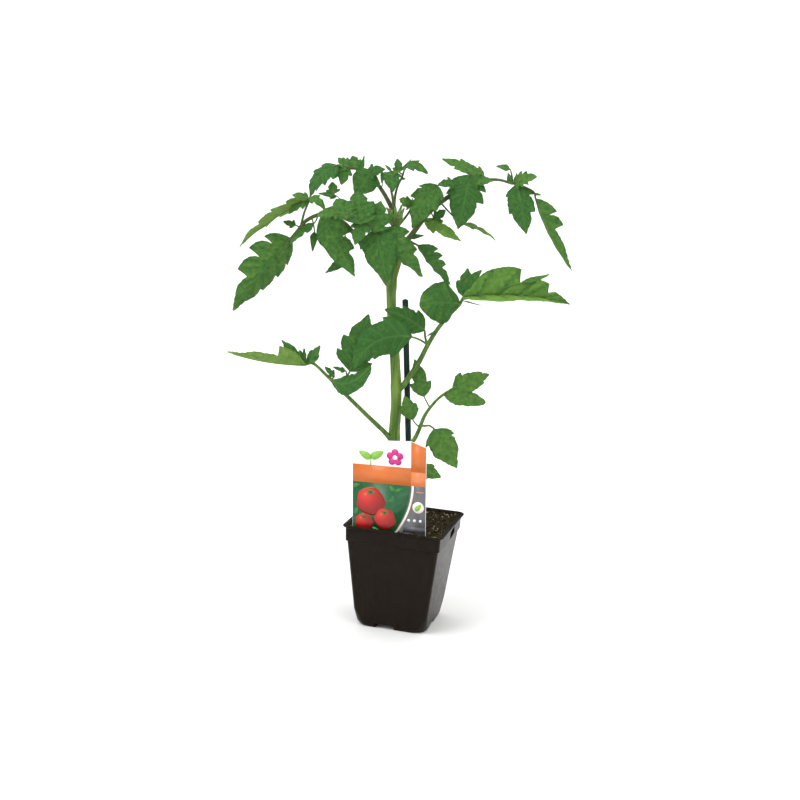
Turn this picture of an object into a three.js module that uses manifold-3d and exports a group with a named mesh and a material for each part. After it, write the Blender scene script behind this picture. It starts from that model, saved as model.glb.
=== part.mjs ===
// A young tomato plant in a square plastic nursery pot, with its stake and its picture label.
// Units are millimetres, +Z is up, and the origin is the middle of the pot's base on the surface.
// The pot's faces look along X and Y, its front face along -Y.

import * as THREE from 'three';
import { mergeVertices } from 'three/addons/utils/BufferGeometryUtils.js';
import Module from 'manifold-3d';

const wasm = await Module();
wasm.setup();

// Clearance kept between pieces that touch.
const GAP = 0.3;

// The pot: a common 10.5 cm square nursery pot, thin walled, with a collar under its lip.
const LIP_WIDTH = 105;
const POT_HEIGHT = 108.5;
const COLLAR_HEIGHT = 17;
const COLLAR_WIDTH = 98;
const BODY_TOP_WIDTH = 95;
const BASE_WIDTH = 74;
const WALL = 1.4;
const FLOOR = 6.5;
const LIP_THICKNESS = 2.2;
const LIP_CORNER = 8;
const EDGE = 0.5;

// Its upright corners are nearly sharp, and grow round over a short rise above its base.
const CORNER_RADIUS_TOP = 4;
const CORNER_RADIUS_BASE = 14;
const CORNER_RISE = 18;
const CORNER_STEPS = 4;
const FOOT_ROUNDING = 4;

// Four drain recesses in the base's edges, a little to the left of their middles, each with a hole
// in the pot's floor above it, and one slanting slot through the collar's right side.
const DRAIN_WIDTH = 20;
const DRAIN_DEPTH = 14;
const DRAIN_HEIGHT = 5;
const DRAIN_HOLE = 8;
const DRAIN_SHIFT = 5.5;
const SLOT = { width: 18, height: 8, slant: 12, y: 9, z: 98 };

// The soil fills the pot up to its lip.
const SOIL_TOP = 107.2;
const SOIL_CROWN = 1.2;
const SOIL_ROUGHNESS = 1.6;
const SOIL_RINGS = 5;

// The stake and the label, both pushed into the soil.
const STAKE_RADIUS = 3.1;
const STAKE_LENGTH = 322;
const STAKE_KNOT_SPACING = 70;
const STAKE_KNOT_RISE = 0.35;
const STAKE_POINT = 5;
const STAKE_SIDES = 10;
const LABEL_WIDTH = 76;
const LABEL_HEIGHT = 104;
const LABEL_THICKNESS = 0.8;
const LABEL_STRIP_WIDTH = 15.5;
const LABEL_CORNER = 6;
const LABEL_KINK = 3;
const LABEL_SHOULDER = 5;
const LABEL_SPIKE_LENGTH = 40;
const LABEL_SPIKE_HALF = 4.5;
const LABEL_SPIKE_FOOT_HALF = 0.5;
const LABEL_SPIKE_TAPER = 10;
const LABEL_LEAN = THREE.MathUtils.degToRad(2.2);
const LABEL_TIP_FORWARD = THREE.MathUtils.degToRad(3);

// The plant grows a little turned against its pot, and its points below are in its own turned
// frame: x along the spread of the leaves, y across it, z up.
const PLANT_TURN = THREE.MathUtils.degToRad(14.5);

// Leaf blades.
const BLADE_THICKNESS = 0.7;
const SMALL_BLADE = 20;
const LOBE_SHIFT = 0.02;

// A blade's half width at a share of its length: the power moves its widest place towards the base,
// and the fullness rounds its ends. The steps are where a blunt blade's end is drawn.
const POINTED = { power: 0.62, fullness: 0.85 };
const BLUNT = { power: 0.8, fullness: 0.55, steps: [0.12, 0.4, 0.7, 0.9] };

// A blade whose base lies this near its stalk's centre line needs no stalk of its own. Any other
// small stalk runs this share of the length into its blade.
const SUNK_BASE = 1.2;
const STALK_REACH = 0.05;

// The main stem, from its root to the growing tip, with the young shoots round the tip.
const STEM = {
  route: [[-8, 1, 52], [-9, 0, 80], [-11, 0, 104], [-13, 0, 150], [-16, 0, 194], [-16, 0, 232], [-20, 0, 277],
    [-27, 0, 336], [-27, 0, 355], [-23, 0, 373], [-20, 0, 388], [-24, 0, 403], [-28, 0, 415], [-29, 0, 424]],
  radii: [1.2, 3.2, 5.6, 5.6, 5.6, 5.4, 5, 4.8, 4.6, 4.1, 3.8, 3.2, 2.7, 1.8],
  leaflets: [
    { stalk: [[-28, 0, 414]], tip: [-37, 0, 427], width: 5, face: [-0.3, -1, 0.2] },
    { stalk: [[-26, 0, 411]], tip: [-22, 3, 430], width: 5, face: [0.2, -1, 0.2] },
    { stalk: [[-26, 0, 410]], tip: [-19, -4, 428], width: 5, face: [0.4, -1, 0.2] },
    { stalk: [[-27, -2, 409]], tip: [-36, -9, 417], width: 5, face: [-0.2, -1, 0.4] },
    { stalk: [[-25, -1, 409]], tip: [-20, -8, 419], width: 4, face: [0.3, -1, 0.4] },
    { stalk: [[-27, -2, 407]], tip: [-34, -11, 427], width: 5, face: [-0.2, -1, 0.2] },
    { stalk: [[-26, -2, 407]], tip: [-28, -12, 430], width: 5, face: [0, -1, 0.2] },
    { stalk: [[-25, -2, 407]], tip: [-22, -11, 426], width: 4, face: [0.3, -1, 0.2] },
  ],
};
const ROOTS = [
  [[-9, 0, 84], [-22, -8, 74], [-28, -14, 58]],
  [[-9, 0, 80], [4, -12, 70], [12, -20, 54]],
  [[-9, 0, 76], [-4, 14, 66], [2, 26, 50]],
  [[-9, 0, 72], [-20, 12, 62], [-28, 20, 46]],
];

const ROOT_RADII = [1.8, 1.2, 0.6];
const ROOT_SIDES = 4;
const STEM_SIDES = 10;
const LEAF_STALK_SIDES = 6;

// Each compound leaf: the route of its stalk from inside the stem to its end leaflet, and its
// leaflets. A leaflet has its own small stalk (its last point is the blade's base), its tip, the
// blade's whole width, the way its upper side faces, and how it arches, bends sideways, folds
// along its midrib and curls at its edges. Its lobes are a count for each side, or the shares of its
// length where their tips lie. The cut is how deep the notches are, for both sides or for each, with
// 0 for a smooth side. A blunt blade has a round end.
const LEAVES = {
  leaf_lower_left: {
    route: [[-18, -1, 190], [-24, -4, 198], [-39, -7, 212], [-54, -10, 226], [-71, -13, 242],
      [-88, -15, 258], [-102, -16, 269], [-109, -17, 267]],
    radii: [2.7, 2.5, 2.2, 2.1, 1.9, 1.6, 1.4, 1.2],
    leaflets: [
      { stalk: [[-108, -17, 267]], tip: [-186, -26, 277], width: 36, face: [0.1, 0.35, 0.93],
        lobes: [0.32], cut: 0.5, arch: -0.04, fold: 35, curl: -30 },
      { stalk: [[-111, -16, 269]], tip: [-134, -12, 290], width: 13, face: [0.1, -0.8, 0.6], lobes: 1 },
      { stalk: [[-109, -17, 266]], tip: [-111, -14, 284], width: 7, face: [-0.6, -0.8, 0.1], lobes: 1 },
      { stalk: [[-106, -17, 268]], tip: [-95, -12, 287], width: 12, face: [-0.4, -0.9, 0.1],
        lobes: [0.6], cut: 0.15 },
      { stalk: [[-75, -13, 246], [-68, -15, 255], [-64, -16, 263]], tip: [-48, -12, 321], width: 38,
        face: [-0.2, -0.97, 0.1], lobes: [0.24, 0.5], cut: 0.22, arch: 0.06, fold: -8 },
      { stalk: [[-84, -15, 255], [-81, -17, 253]], tip: [-43, -32, 273], width: 22, face: [0, -0.8, 0.6],
        arch: 0.1, bend: -0.26, fold: -10, curl: 25, blunt: 1 },
      { stalk: [[-67, -15, 258], [-68, -16, 263]], tip: [-81, -19, 267], width: 7, face: [0, -0.6, 0.8],
        lobes: 1 },
      { stalk: [[-82, -14, 253], [-79, -16, 257]], tip: [-89, -20, 267], width: 8, face: [0.3, -0.8, 0.5],
        lobes: 1 },
    ],
  },
  leaf_right: {
    route: [[-16, 0, 242], [-10, -3, 249], [-3, -6, 261], [5, -8, 276], [13, -11, 295], [22, -13, 312],
      [32, -15, 326], [41, -17, 337], [44, -18, 344]],
    radii: [3.2, 3, 2.7, 2.6, 2.3, 2.1, 1.9, 1.7, 1.4],
    leaflets: [
      { stalk: [[44, -18, 343]], tip: [148, -30, 345], width: 56, face: [0, -0.6, 0.8],
        lobes: [0.48, 0.74], cut: [0.45, 0], arch: 0.07, fold: 38, curl: 10 },
      { stalk: [[44, -18, 345]], tip: [47, -13, 373], width: 19, face: [-0.3, -0.95, 0.1],
        lobes: [0.5], cut: 0.15, fold: -10 },
      { stalk: [[45, -18, 346]], tip: [61, -14, 372], width: 14, face: [0.2, -0.95, 0.2], lobes: [0.6],
        cut: 0.15, bend: 0.08 },
      { stalk: [[44, -18, 341]], tip: [62, -22, 338], width: 3, face: [0, -0.2, 1] },
      { stalk: [[46, -19, 344], [74, -24, 353], [101, -27, 364]], tip: [127, -24, 373], width: 6,
        face: [0.2, -0.8, 0.6], arch: -0.06 },
      { stalk: [[41, -18, 338], [40, -20, 338]], tip: [1, -30, 336], width: 42, face: [-0.1, -0.97, 0.15],
        arch: 0.1, bend: -0.04, fold: -10, curl: 15, blunt: 1 },
      { stalk: [[12, -11, 293], [4, -16, 299], [-4, -20, 302]], tip: [-60, -26, 268], width: 38,
        face: [0, -0.98, 0.1], lobes: [0.32, 0.68], cut: 0.1, arch: 0.08, bend: -0.2, fold: -6 },
      { stalk: [[12, -11, 294], [9, -12, 302], [8, -12, 308]], tip: [-33, -13, 327], width: 24,
        face: [0, -0.95, 0.3], lobes: [0.35, 0.65], cut: 0.2, arch: 0.05, bend: -0.05 },
      { stalk: [[21, -13, 307]], tip: [10, -19, 303], width: 3, face: [0, -0.7, 0.7], arch: 0.15 },
    ],
  },
  leaf_lower_right: {
    route: [[-12, -1, 175], [-4, -6, 184], [4, -8, 194], [9, -9, 206], [13, -9, 219], [18, -8, 228],
      [27, -6, 239], [37, -4, 247], [42, -3, 250]],
    radii: [2.4, 2.3, 2.2, 2, 1.8, 1.6, 1.4, 1.2, 1],
    leaflets: [
      { stalk: [[40, -3, 248]], tip: [76, -8, 267], width: 24, face: [0.1, -0.9, 0.4], lobes: [0.3, 0.8],
        cut: 0.2, arch: 0.06, fold: -8 },
      { stalk: [[32, -5, 242]], tip: [74, -12, 238], width: 17, face: [0, -0.85, 0.5], arch: 0.08,
        blunt: 1 },
      { stalk: [[18, -8, 230], [15, -6, 234], [12, -4, 239]], tip: [0, 2, 276], width: 20,
        face: [0.1, -0.98, 0.1], lobes: 1, fold: -6 },
      { stalk: [[10, -9, 209], [5, -10, 212], [2, -11, 216]], tip: [-8, -14, 241], width: 18,
        face: [0, -1, 0.1], lobes: [0.6], cut: 0.12, fold: -8 },
      { stalk: [[14, -9, 210], [19, -11, 211], [24, -12, 208]], tip: [49, -22, 171], width: 34,
        face: [0.15, -0.95, 0.25], lobes: [0.24], cut: 0.18, arch: 0.08, fold: -12, curl: 20 },
      { stalk: [[1, -7, 190], [4, -12, 180], [12, -15, 168]], tip: [34, -20, 160], width: 16,
        face: [0, -0.9, 0.4], lobes: [0.5], cut: 0.12 },
    ],
  },
  leaf_left: {
    route: [[-27, 0, 346], [-33, 2, 353], [-44, 6, 367], [-55, 9, 381], [-68, 10, 398], [-82, 10, 410],
      [-101, 9, 415], [-116, 6, 408], [-123, 4, 399], [-130, 3, 390]],
    radii: [3.4, 3.2, 2.8, 2.6, 2.4, 2.2, 2, 1.8, 1.6, 1.3],
    leaflets: [
      { stalk: [[-130, 3, 390]], tip: [-184, -8, 316], width: 46, face: [0.41, -0.85, -0.16],
        lobes: [0.17, 0.36, 0.6], cut: [0.16, 0.5], arch: 0.06, bend: -0.05, fold: -16, curl: 10 },
      { stalk: [[-101, 6, 416], [-100, 3, 415]], tip: [-64, -8, 357], width: 31, face: [0, -0.97, 0.1],
        lobes: [0.36, 0.6], cut: [0.45, 0], arch: 0.08, fold: -10 },
      { stalk: [[-110, 6, 410], [-107, 6, 398]], tip: [-108, 3, 378], width: 7, face: [0, -1, 0.2] },
      { stalk: [[-84, 11, 409], [-77, 17, 395], [-72, 14, 374]], tip: [-95, 12, 356], width: 10,
        face: [-0.1, -1, 0.1] },
      { stalk: [[-121, 4, 401], [-126, 7, 403]], tip: [-139, 9, 406], width: 9, face: [0, -0.8, 0.6],
        lobes: 1 },
      { stalk: [[-105, 7, 412], [-108, 4, 406]], tip: [-130, -5, 385], width: 15, face: [-0.3, -0.5, 0.8],
        lobes: 1, arch: 0.08 },
      { stalk: [[-121, 5, 403], [-118, 4, 416], [-114, 3, 429]], tip: [-180, -6, 380], width: 34,
        face: [-0.3, 0.35, 0.87], lobes: [0.2, 0.4, 0.6], cut: 0.3, arch: 0.05, fold: 15, curl: 10 },
      { stalk: [[-115, 3, 423], [-114, 3, 431]], tip: [-97, 0, 420], width: 12, face: [0, -0.7, 0.7],
        lobes: 1, arch: 0.3 },
      { stalk: [[-114, 3, 429]], tip: [-131, 5, 433], width: 11, face: [0, -0.8, 0.6], lobes: 1,
        arch: 0.15 },
      { stalk: [[-115, 3, 428]], tip: [-133, 0, 414], width: 12, face: [-0.2, -0.8, 0.5], lobes: 1,
        arch: 0.2 },
      { stalk: [[-78, 8, 421], [-80, 7, 428], [-88, 6, 435]], tip: [-105, 5, 436], width: 6,
        face: [0, -0.8, 0.6] },
      { stalk: [[-90, 6, 436]], tip: [-92, 8, 448], width: 13, face: [0, -0.95, 0.3], lobes: 1 },
      { stalk: [[-87, 6, 434]], tip: [-94, 4, 431], width: 3, face: [0, -0.8, 0.6] },
    ],
  },
  leaf_front: {
    route: [[-23, -1, 388], [-28, -5, 392], [-36, -11, 399], [-44, -17, 406], [-56, -22, 414],
      [-71, -25, 419], [-84, -26, 420]],
    radii: [2.6, 2.4, 2.2, 2, 1.8, 1.5, 1.2],
    leaflets: [
      { stalk: [[-46, -18, 407]], tip: [-31, -24, 355], width: 36, face: [-0.1, -0.98, 0.1],
        lobes: [0.3], cut: 0.12, arch: 0.06 },
      { stalk: [[-44, -17, 407]], tip: [3, -22, 363], width: 44, face: [-0.5, -0.7, -0.33],
        lobes: [0.3, 0.62], cut: 0.22, arch: 0.08, fold: -42 },
      { stalk: [[-46, -18, 407], [-47, -23, 404]], tip: [-43, -8, 433], width: 29, face: [0, -0.8, 0.6],
        lobes: 2, arch: 0.08 },
      { stalk: [[-60, -22, 415], [-61, -27, 411]], tip: [-66, -6, 441], width: 35, face: [0, -0.8, 0.6],
        lobes: 2, arch: 0.08 },
      { stalk: [[-74, -25, 419], [-75, -29, 415]], tip: [-85, -10, 433], width: 30, face: [0, -0.8, 0.6],
        lobes: 2, arch: 0.08 },
      { stalk: [[-58, -22, 414]], tip: [-65, -31, 391], width: 19, face: [-0.2, -0.9, 0.3], lobes: 1 },
      { stalk: [[-84, -26, 420]], tip: [-103, -32, 417], width: 20, face: [-0.1, -0.6, 0.8], lobes: 2,
        arch: 0.1 },
    ],
  },
  leaf_upper_left: {
    route: [[-28, 2, 417], [-32, 6, 426], [-36, 7, 433], [-43, 9, 443], [-52, 12, 453], [-61, 14, 459],
      [-73, 15, 462], [-82, 16, 463], [-88, 16, 464]],
    radii: [2.5, 2.4, 2.2, 2, 1.8, 1.6, 1.3, 1.1, 0.9],
    leaflets: [
      { stalk: [[-87, 16, 464]], tip: [-114, 14, 430], width: 26, face: [-0.3, -0.6, 0.7],
        lobes: [0.25, 0.5, 0.72], cut: 0.2, arch: 0.22, curl: 20 },
      { stalk: [[-79, 15, 463]], tip: [-83, 9, 445], width: 14, face: [0, -0.95, 0.2], lobes: 1 },
      { stalk: [[-84, 16, 463]], tip: [-90, 11, 451], width: 8, face: [0, -0.95, 0.2] },
      { stalk: [[-55, 12, 456], [-53, 10, 461]], tip: [-69, 4, 436], width: 29, face: [0.1, -0.95, 0.3],
        lobes: [0.3], cut: 0.1 },
      { stalk: [[-58, 13, 457]], tip: [-40, 8, 463], width: 15, face: [0, -0.85, 0.5], lobes: 1,
        arch: 0.15 },
      { stalk: [[-75, 15, 462]], tip: [-88, 20, 471], width: 17, face: [0, -0.8, 0.6], lobes: 2 },
      { stalk: [[-68, 15, 461]], tip: [-74, 22, 474], width: 17, face: [0, -0.8, 0.6], lobes: 2 },
      { stalk: [[-64, 14, 461]], tip: [-62, 18, 475], width: 4, face: [0, -0.9, 0.4] },
      { stalk: [[-43, 9, 445], [-42, 7, 453]], tip: [-45, 5, 466], width: 3, face: [0, -0.9, 0.4],
        arch: 0.1 },
    ],
  },
  leaf_upper_right: {
    route: [[-21, 2, 384], [-17, 4, 391], [-10, 6, 401], [6, 9, 424], [23, 11, 439], [38, 13, 450],
      [54, 14, 457], [73, 14, 459], [86, 13, 456]],
    radii: [3.2, 3, 2.7, 2.5, 2.3, 2, 1.7, 1.4, 1.1],
    leaflets: [
      { stalk: [[17, 10, 433], [13, 7, 443], [11, 4, 451]], tip: [-10, -5, 408], width: 31,
        face: [-0.3, -0.9, 0.3], lobes: [0.18, 0.45], cut: 0.28, arch: 0.12 },
      { stalk: [[42, 13, 453], [44, 9, 463]], tip: [35, -1, 409], width: 37, face: [0, -0.97, 0.2],
        lobes: [0.2, 0.42], cut: [0.3, 0.16], arch: 0.06, fold: -10 },
      { stalk: [[56, 14, 459], [58, 14, 461]], tip: [15, 20, 476], width: 17, face: [-0.1, -0.8, 0.6],
        lobes: 2, arch: 0.06 },
      { stalk: [[45, 13, 453]], tip: [67, 5, 458], width: 15, face: [0, -0.8, 0.6], lobes: 1, arch: 0.15 },
      { stalk: [[32, 12, 446], [29, 8, 453]], tip: [12, 2, 451], width: 13, face: [0, -0.8, 0.6], lobes: 1,
        arch: 0.12 },
      { stalk: [[1, 8, 416]], tip: [39, 4, 397], width: 17, face: [0.3, -0.8, 0.5], lobes: 1, arch: 0.05 },
      { stalk: [[7, 9, 424], [11, 7, 418]], tip: [22, 5, 427], width: 12, face: [0, -0.9, 0.4], lobes: 1 },
      { stalk: [[17, 10, 433], [27, 16, 423], [38, 17, 414]], tip: [74, 14, 399], width: 13,
        face: [0.3, -0.3, 0.9], lobes: 1, arch: 0.08 },
      { stalk: [[-14, 5, 396], [-9, 2, 393], [-4, 1, 391]], tip: [31, -7, 354], width: 28,
        face: [-0.52, -0.7, -0.3], lobes: [0.25, 0.42, 0.6], cut: [0.35, 0.1], arch: 0.05, fold: -42 },
      { stalk: [[-12, 6, 398]], tip: [2, 2, 401], width: 5, face: [0, -0.9, 0.4] },
      { stalk: [[88, 12, 457], [91, 11, 456]], tip: [103, 3, 408], width: 28, face: [0, -0.98, 0.1],
        lobes: [0.2, 0.55], cut: [0.3, 0.1], arch: 0.06, fold: -8 },
      { stalk: [[85, 13, 456]], tip: [81, 12, 467], width: 6, face: [-0.3, -0.9, 0.2] },
      { stalk: [[88, 13, 456]], tip: [110, 7, 465], width: 18, face: [0, -0.85, 0.5], lobes: 3, arch: 0.2 },
      { stalk: [[87, 13, 456], [85, 14, 465], [83, 15, 470]], tip: [69, 16, 472], width: 7,
        face: [0, -0.8, 0.6], arch: 0.1 },
      { stalk: [[88, 13, 455], [100, 10, 453], [108, 9, 449], [110, 8, 443]], tip: [151, -2, 374],
        width: 29, face: [-0.62, -0.7, -0.16], lobes: [0.2, 0.39], cut: [0.55, 0], arch: 0.05, fold: -44 },
      { stalk: [[108, 9, 448]], tip: [116, 8, 447], width: 3, face: [0, -0.8, 0.6] },
    ],
  },
  young_leaf_right: {
    route: [[-29, 0, 422], [-29, -1, 437], [-27, -2, 448], [-23, -4, 458], [-21, -5, 466]],
    radii: [1.5, 1.3, 1.1, 1, 0.8],
    leaflets: [
      { stalk: [[-21, -6, 466], [-22, -7, 468]], tip: [2, -12, 462], width: 15, face: [0.1, -0.8, 0.6],
        lobes: [0.16, 0.5], cut: 0.4, arch: 0.3 },
      { stalk: [[-23, -5, 460], [-26, -6, 462]], tip: [-29, -4, 475], width: 11, face: [0, -0.97, 0.1],
        lobes: 1 },
      { stalk: [[-24, -6, 456]], tip: [-19, -8, 456], width: 3, face: [0, -0.8, 0.6] },
    ],
  },
  young_leaf_left: {
    route: [[-28, -2, 414], [-31, -7, 436], [-33, -9, 444], [-35, -10, 454], [-34, -10, 463]],
    radii: [1.5, 1.3, 1.1, 1, 0.8],
    leaflets: [
      { stalk: [[-34, -10, 463]], tip: [-31, -16, 443], width: 17, face: [0, -0.95, 0.2], lobes: [0.3],
        cut: 0.15, arch: 0.1 },
      { stalk: [[-34, -10, 463]], tip: [-41, -9, 469], width: 3, face: [0, -0.97, 0.1] },
      { stalk: [[-34, -10, 459]], tip: [-24, -13, 464], width: 6, face: [0, -0.7, 0.7], lobes: 1,
        arch: 0.1 },
      { stalk: [[-35, -10, 460], [-41, -8, 461]], tip: [-43, -8, 450], width: 5, face: [0, -1, 0.1] },
      { stalk: [[-37, -10, 461]], tip: [-39, -10, 453], width: 4, face: [0, -1, 0.1] },
    ],
  },
  young_leaf_back: {
    route: [[-26, 1, 407], [-20, 6, 414], [-14, 9, 423], [-12, 9, 429]],
    radii: [1.4, 1.2, 1.1, 0.9],
    leaflets: [
      { stalk: [[-12, 9, 429]], tip: [-25, 9, 435], width: 15, face: [0, -0.85, 0.5], lobes: 2, arch: 0.1 },
    ],
  },
};

const vec = (p) => new THREE.Vector3(p[0], p[1], p[2]);
const lerp = THREE.MathUtils.lerp;
const radians = THREE.MathUtils.degToRad;

// A plant point in the pot's frame.
const UP = new THREE.Vector3(0, 0, 1);
const planted = (p) => vec(p).applyAxisAngle(UP, PLANT_TURN);

// Closed solids.

function solid(points, triangles) {
  const geometry = new THREE.BufferGeometry();
  const numbers = points.flatMap((p) => [p.x, p.y, p.z]);
  geometry.setAttribute('position', new THREE.Float32BufferAttribute(numbers, 3));
  geometry.setIndex(triangles.flat());
  return solidOf(geometry);
}

function solidOf(source) {
  let geometry = source.clone();
  geometry.deleteAttribute('normal');
  geometry.deleteAttribute('uv');
  geometry = mergeVertices(geometry, 1e-4);
  return new wasm.Manifold(new wasm.Mesh({
    numProp: 3,
    vertProperties: new Float32Array(geometry.attributes.position.array),
    triVerts: new Uint32Array(geometry.index.array),
  }));
}

function geometryOf(manifold) {
  const { vertProperties, triVerts } = manifold.getMesh();
  const geometry = new THREE.BufferGeometry();
  geometry.setAttribute('position', new THREE.BufferAttribute(new Float32Array(vertProperties), 3));
  geometry.setIndex(new THREE.BufferAttribute(new Uint32Array(triVerts), 1));
  geometry.computeVertexNormals();
  return geometry;
}

const joined = (solids) => solids.reduce((whole, next) => whole.add(next));

// The biggest body of a solid, without the loose scraps that a cut can leave.
function mainBody(manifold) {
  const bodies = manifold.decompose();
  return bodies.reduce((best, body) => (body.volume() > best.volume() ? body : best));
}

// Rings of equal count, closed at both ends by a fan.
function loft(rings) {
  const count = rings[0].length;
  const points = rings.flat();
  const triangles = [];
  for (let r = 0; r < rings.length - 1; r++) {
    for (let i = 0; i < count; i++) {
      const a = r * count + i;
      const b = r * count + (i + 1) % count;
      triangles.push([a, b, b + count], [a, b + count, a + count]);
    }
  }
  const middle = (ring) => ring.reduce((sum, p) => sum.add(p), new THREE.Vector3()).divideScalar(count);
  const last = (rings.length - 1) * count;
  const low = points.push(middle(rings[0])) - 1;
  const high = points.push(middle(rings.at(-1))) - 1;
  for (let i = 0; i < count; i++) {
    const next = (i + 1) % count;
    triangles.push([low, next, i], [high, last + i, last + next]);
  }
  return solid(points, triangles);
}

// A square ring with round corners at one height.
function squareRing(half, radius, z) {
  const ring = [];
  for (let corner = 0; corner < 4; corner++) {
    const start = corner * Math.PI / 2;
    const cx = (half - radius) * (corner === 0 || corner === 3 ? 1 : -1);
    const cy = (half - radius) * (corner < 2 ? 1 : -1);
    for (let i = 0; i <= CORNER_STEPS; i++) {
      const angle = start + i / CORNER_STEPS * Math.PI / 2;
      ring.push(new THREE.Vector3(cx + radius * Math.cos(angle), cy + radius * Math.sin(angle), z));
    }
  }
  return ring;
}

// A tapering stalk along a smooth route, with round ends.
function stalk(route, radii, sides, extra = 0) {
  const curve = new THREE.CatmullRomCurve3(route, false, 'centripetal');
  const steps = route.length - 1;
  const rings = [];
  let normal = new THREE.Vector3(0.31, -0.9, 0.3);
  for (let i = 0; i <= steps; i++) {
    const u = i / steps;
    const along = curve.getTangent(u);
    normal = normal.clone().addScaledVector(along, -normal.dot(along)).normalize();
    const side = new THREE.Vector3().crossVectors(along, normal);
    const at = u * (radii.length - 1);
    const k = Math.min(Math.floor(at), radii.length - 2);
    const radius = lerp(radii[k], radii[k + 1], at - k) + extra;
    const centre = curve.getPoint(u);
    rings.push(Array.from({ length: sides }, (_, j) => {
      const angle = j / sides * 2 * Math.PI;
      return centre.clone().addScaledVector(normal, radius * Math.cos(angle))
        .addScaledVector(side, radius * Math.sin(angle));
    }));
  }
  return loft(rings);
}

// Where the lobes' tips lie, as shares of the length, given in a list or else as a count.
function lobeTips(lobes) {
  if (Array.isArray(lobes)) return lobes;
  if (lobes === 1) return [0.36];
  return Array.from({ length: lobes }, (_, i) => 0.2 + 0.42 * i / (lobes - 1));
}

// The blade's margin on one side, from base to tip: each column runs from a foot on the midrib to
// a point of the margin (both as shares of the length), at a share of the half width. A lobe has a
// rounded back, a tip that points forward, and a notch after it. Past the last notch the blade
// narrows to a point, or ends round if it is blunt. The cut is how deep the notches are, for both
// sides or for each, and a side that isn't cut is smooth.
function marginColumns({ lobes = 0, cut = 0.35, width, blunt = 0 }, side) {
  const { power, fullness } = blunt ? BLUNT : POINTED;
  const envelope = (x) => Math.sin(Math.PI * Math.min(1, Math.max(0, x)) ** power) ** fullness;
  const depth = Array.isArray(cut) ? cut[side > 0 ? 0 : 1] : cut;
  const swell = depth > 0 ? 1.08 : 1;
  const columns = [{ foot: 0, reach: 0, half: 0.07 }];
  const tips = lobeTips(lobes);
  let back = 0.04;
  tips.forEach((share, i) => {
    const tip = share + side * LOBE_SHIFT;
    const notch = tip + 0.03;
    const middle = (back + tip) / 2;
    if (i === 0 || width > SMALL_BLADE) {
      const foot = lerp(back, tip, 0.3) - 0.03;
      columns.push({ foot, reach: middle - 0.02, half: envelope(middle) * 0.93 });
    }
    columns.push({ foot: tip - 0.13, reach: tip + 0.03, half: envelope(tip) * swell });
    columns.push({ foot: notch - 0.05, reach: notch, half: envelope(notch) * (1 - depth) });
    back = notch;
  });
  if (blunt) {
    for (const step of BLUNT.steps) {
      const reach = lerp(back, 1, step);
      columns.push({ foot: reach - 0.05, reach, half: envelope(reach) });
    }
  } else if (tips.length === 0) {
    for (const reach of [0.2, 0.6]) columns.push({ foot: reach - 0.06, reach, half: envelope(reach) });
  } else if (width > SMALL_BLADE / 2) {
    const end = lerp(back, 1, 0.4);
    columns.push({ foot: end - 0.05, reach: end, half: Math.min(envelope(end), columns.at(-1).half * 1.15) });
  }
  columns.push({ foot: 1, reach: 1, half: 0 });
  return columns;
}

// How the flat blade lies in space: a point is given by its share of the length and by its
// distance from the midrib on one side.
function bladeShape({ stalk: points, tip, width, face, arch = 0, bend = 0, fold = 0, curl = 0 }) {
  const base = planted(points.at(-1));
  const chord = planted(tip).sub(base);
  const length = chord.length();
  const along = chord.clone().divideScalar(length);
  const up = planted(face);
  up.addScaledVector(along, -up.dot(along)).normalize();
  const across = new THREE.Vector3().crossVectors(up, along);
  const control = base.clone().addScaledVector(chord, 0.5)
    .addScaledVector(up, 2 * arch * length).addScaledVector(across, 2 * bend * length);
  const midrib = new THREE.QuadraticBezierCurve3(base, control, planted(tip));
  return (share, side, distance) => {
    const tangent = midrib.getTangent(share);
    const normal = up.clone().addScaledVector(tangent, -up.dot(tangent)).normalize();
    const outward = new THREE.Vector3().crossVectors(normal, tangent).multiplyScalar(side);
    const angle = radians(fold - curl * distance / width);
    return midrib.getPoint(share).addScaledVector(outward, distance * Math.cos(angle))
      .addScaledVector(normal, distance * Math.sin(angle));
  };
}

// A thin closed blade, split into triangles alike on both faces.
function blade(leaflet) {
  const place = bladeShape(leaflet);
  const half = leaflet.width / 2;
  const points = [];
  const triangles = [];
  const sides = [1, -1].map((side) => ({ side, columns: marginColumns(leaflet, side) }));
  const last = sides[0].columns.length - 1;
  const tip = points.push(place(1, 1, 0)) - 1;
  const columnIndex = [];
  for (let k = 0; k < last; k++) {
    const foot = (sides[0].columns[k].foot + sides[1].columns[k].foot) / 2;
    const margins = sides.map(({ side, columns }) => (
      points.push(place(columns[k].reach, side, columns[k].half * half)) - 1));
    columnIndex.push({ foot: points.push(place(foot, 1, 0)) - 1, margins });
  }
  sides.forEach(({ side }, s) => {
    for (let k = 0; k < last; k++) {
      const here = columnIndex[k];
      const next = columnIndex[k + 1];
      const faces = next
        ? [[here.foot, next.foot, next.margins[s]], [here.foot, next.margins[s], here.margins[s]]]
        : [[here.foot, tip, here.margins[s]]];
      faces.forEach((face) => triangles.push(side > 0 ? face : face.reverse()));
    }
  });
  const edge = (s) => columnIndex.map((column) => column.margins[s]);
  const loop = [columnIndex[0].foot, ...edge(0), tip, ...edge(1).reverse()];
  return thickened(points, triangles, loop.reverse(), BLADE_THICKNESS);
}

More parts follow.
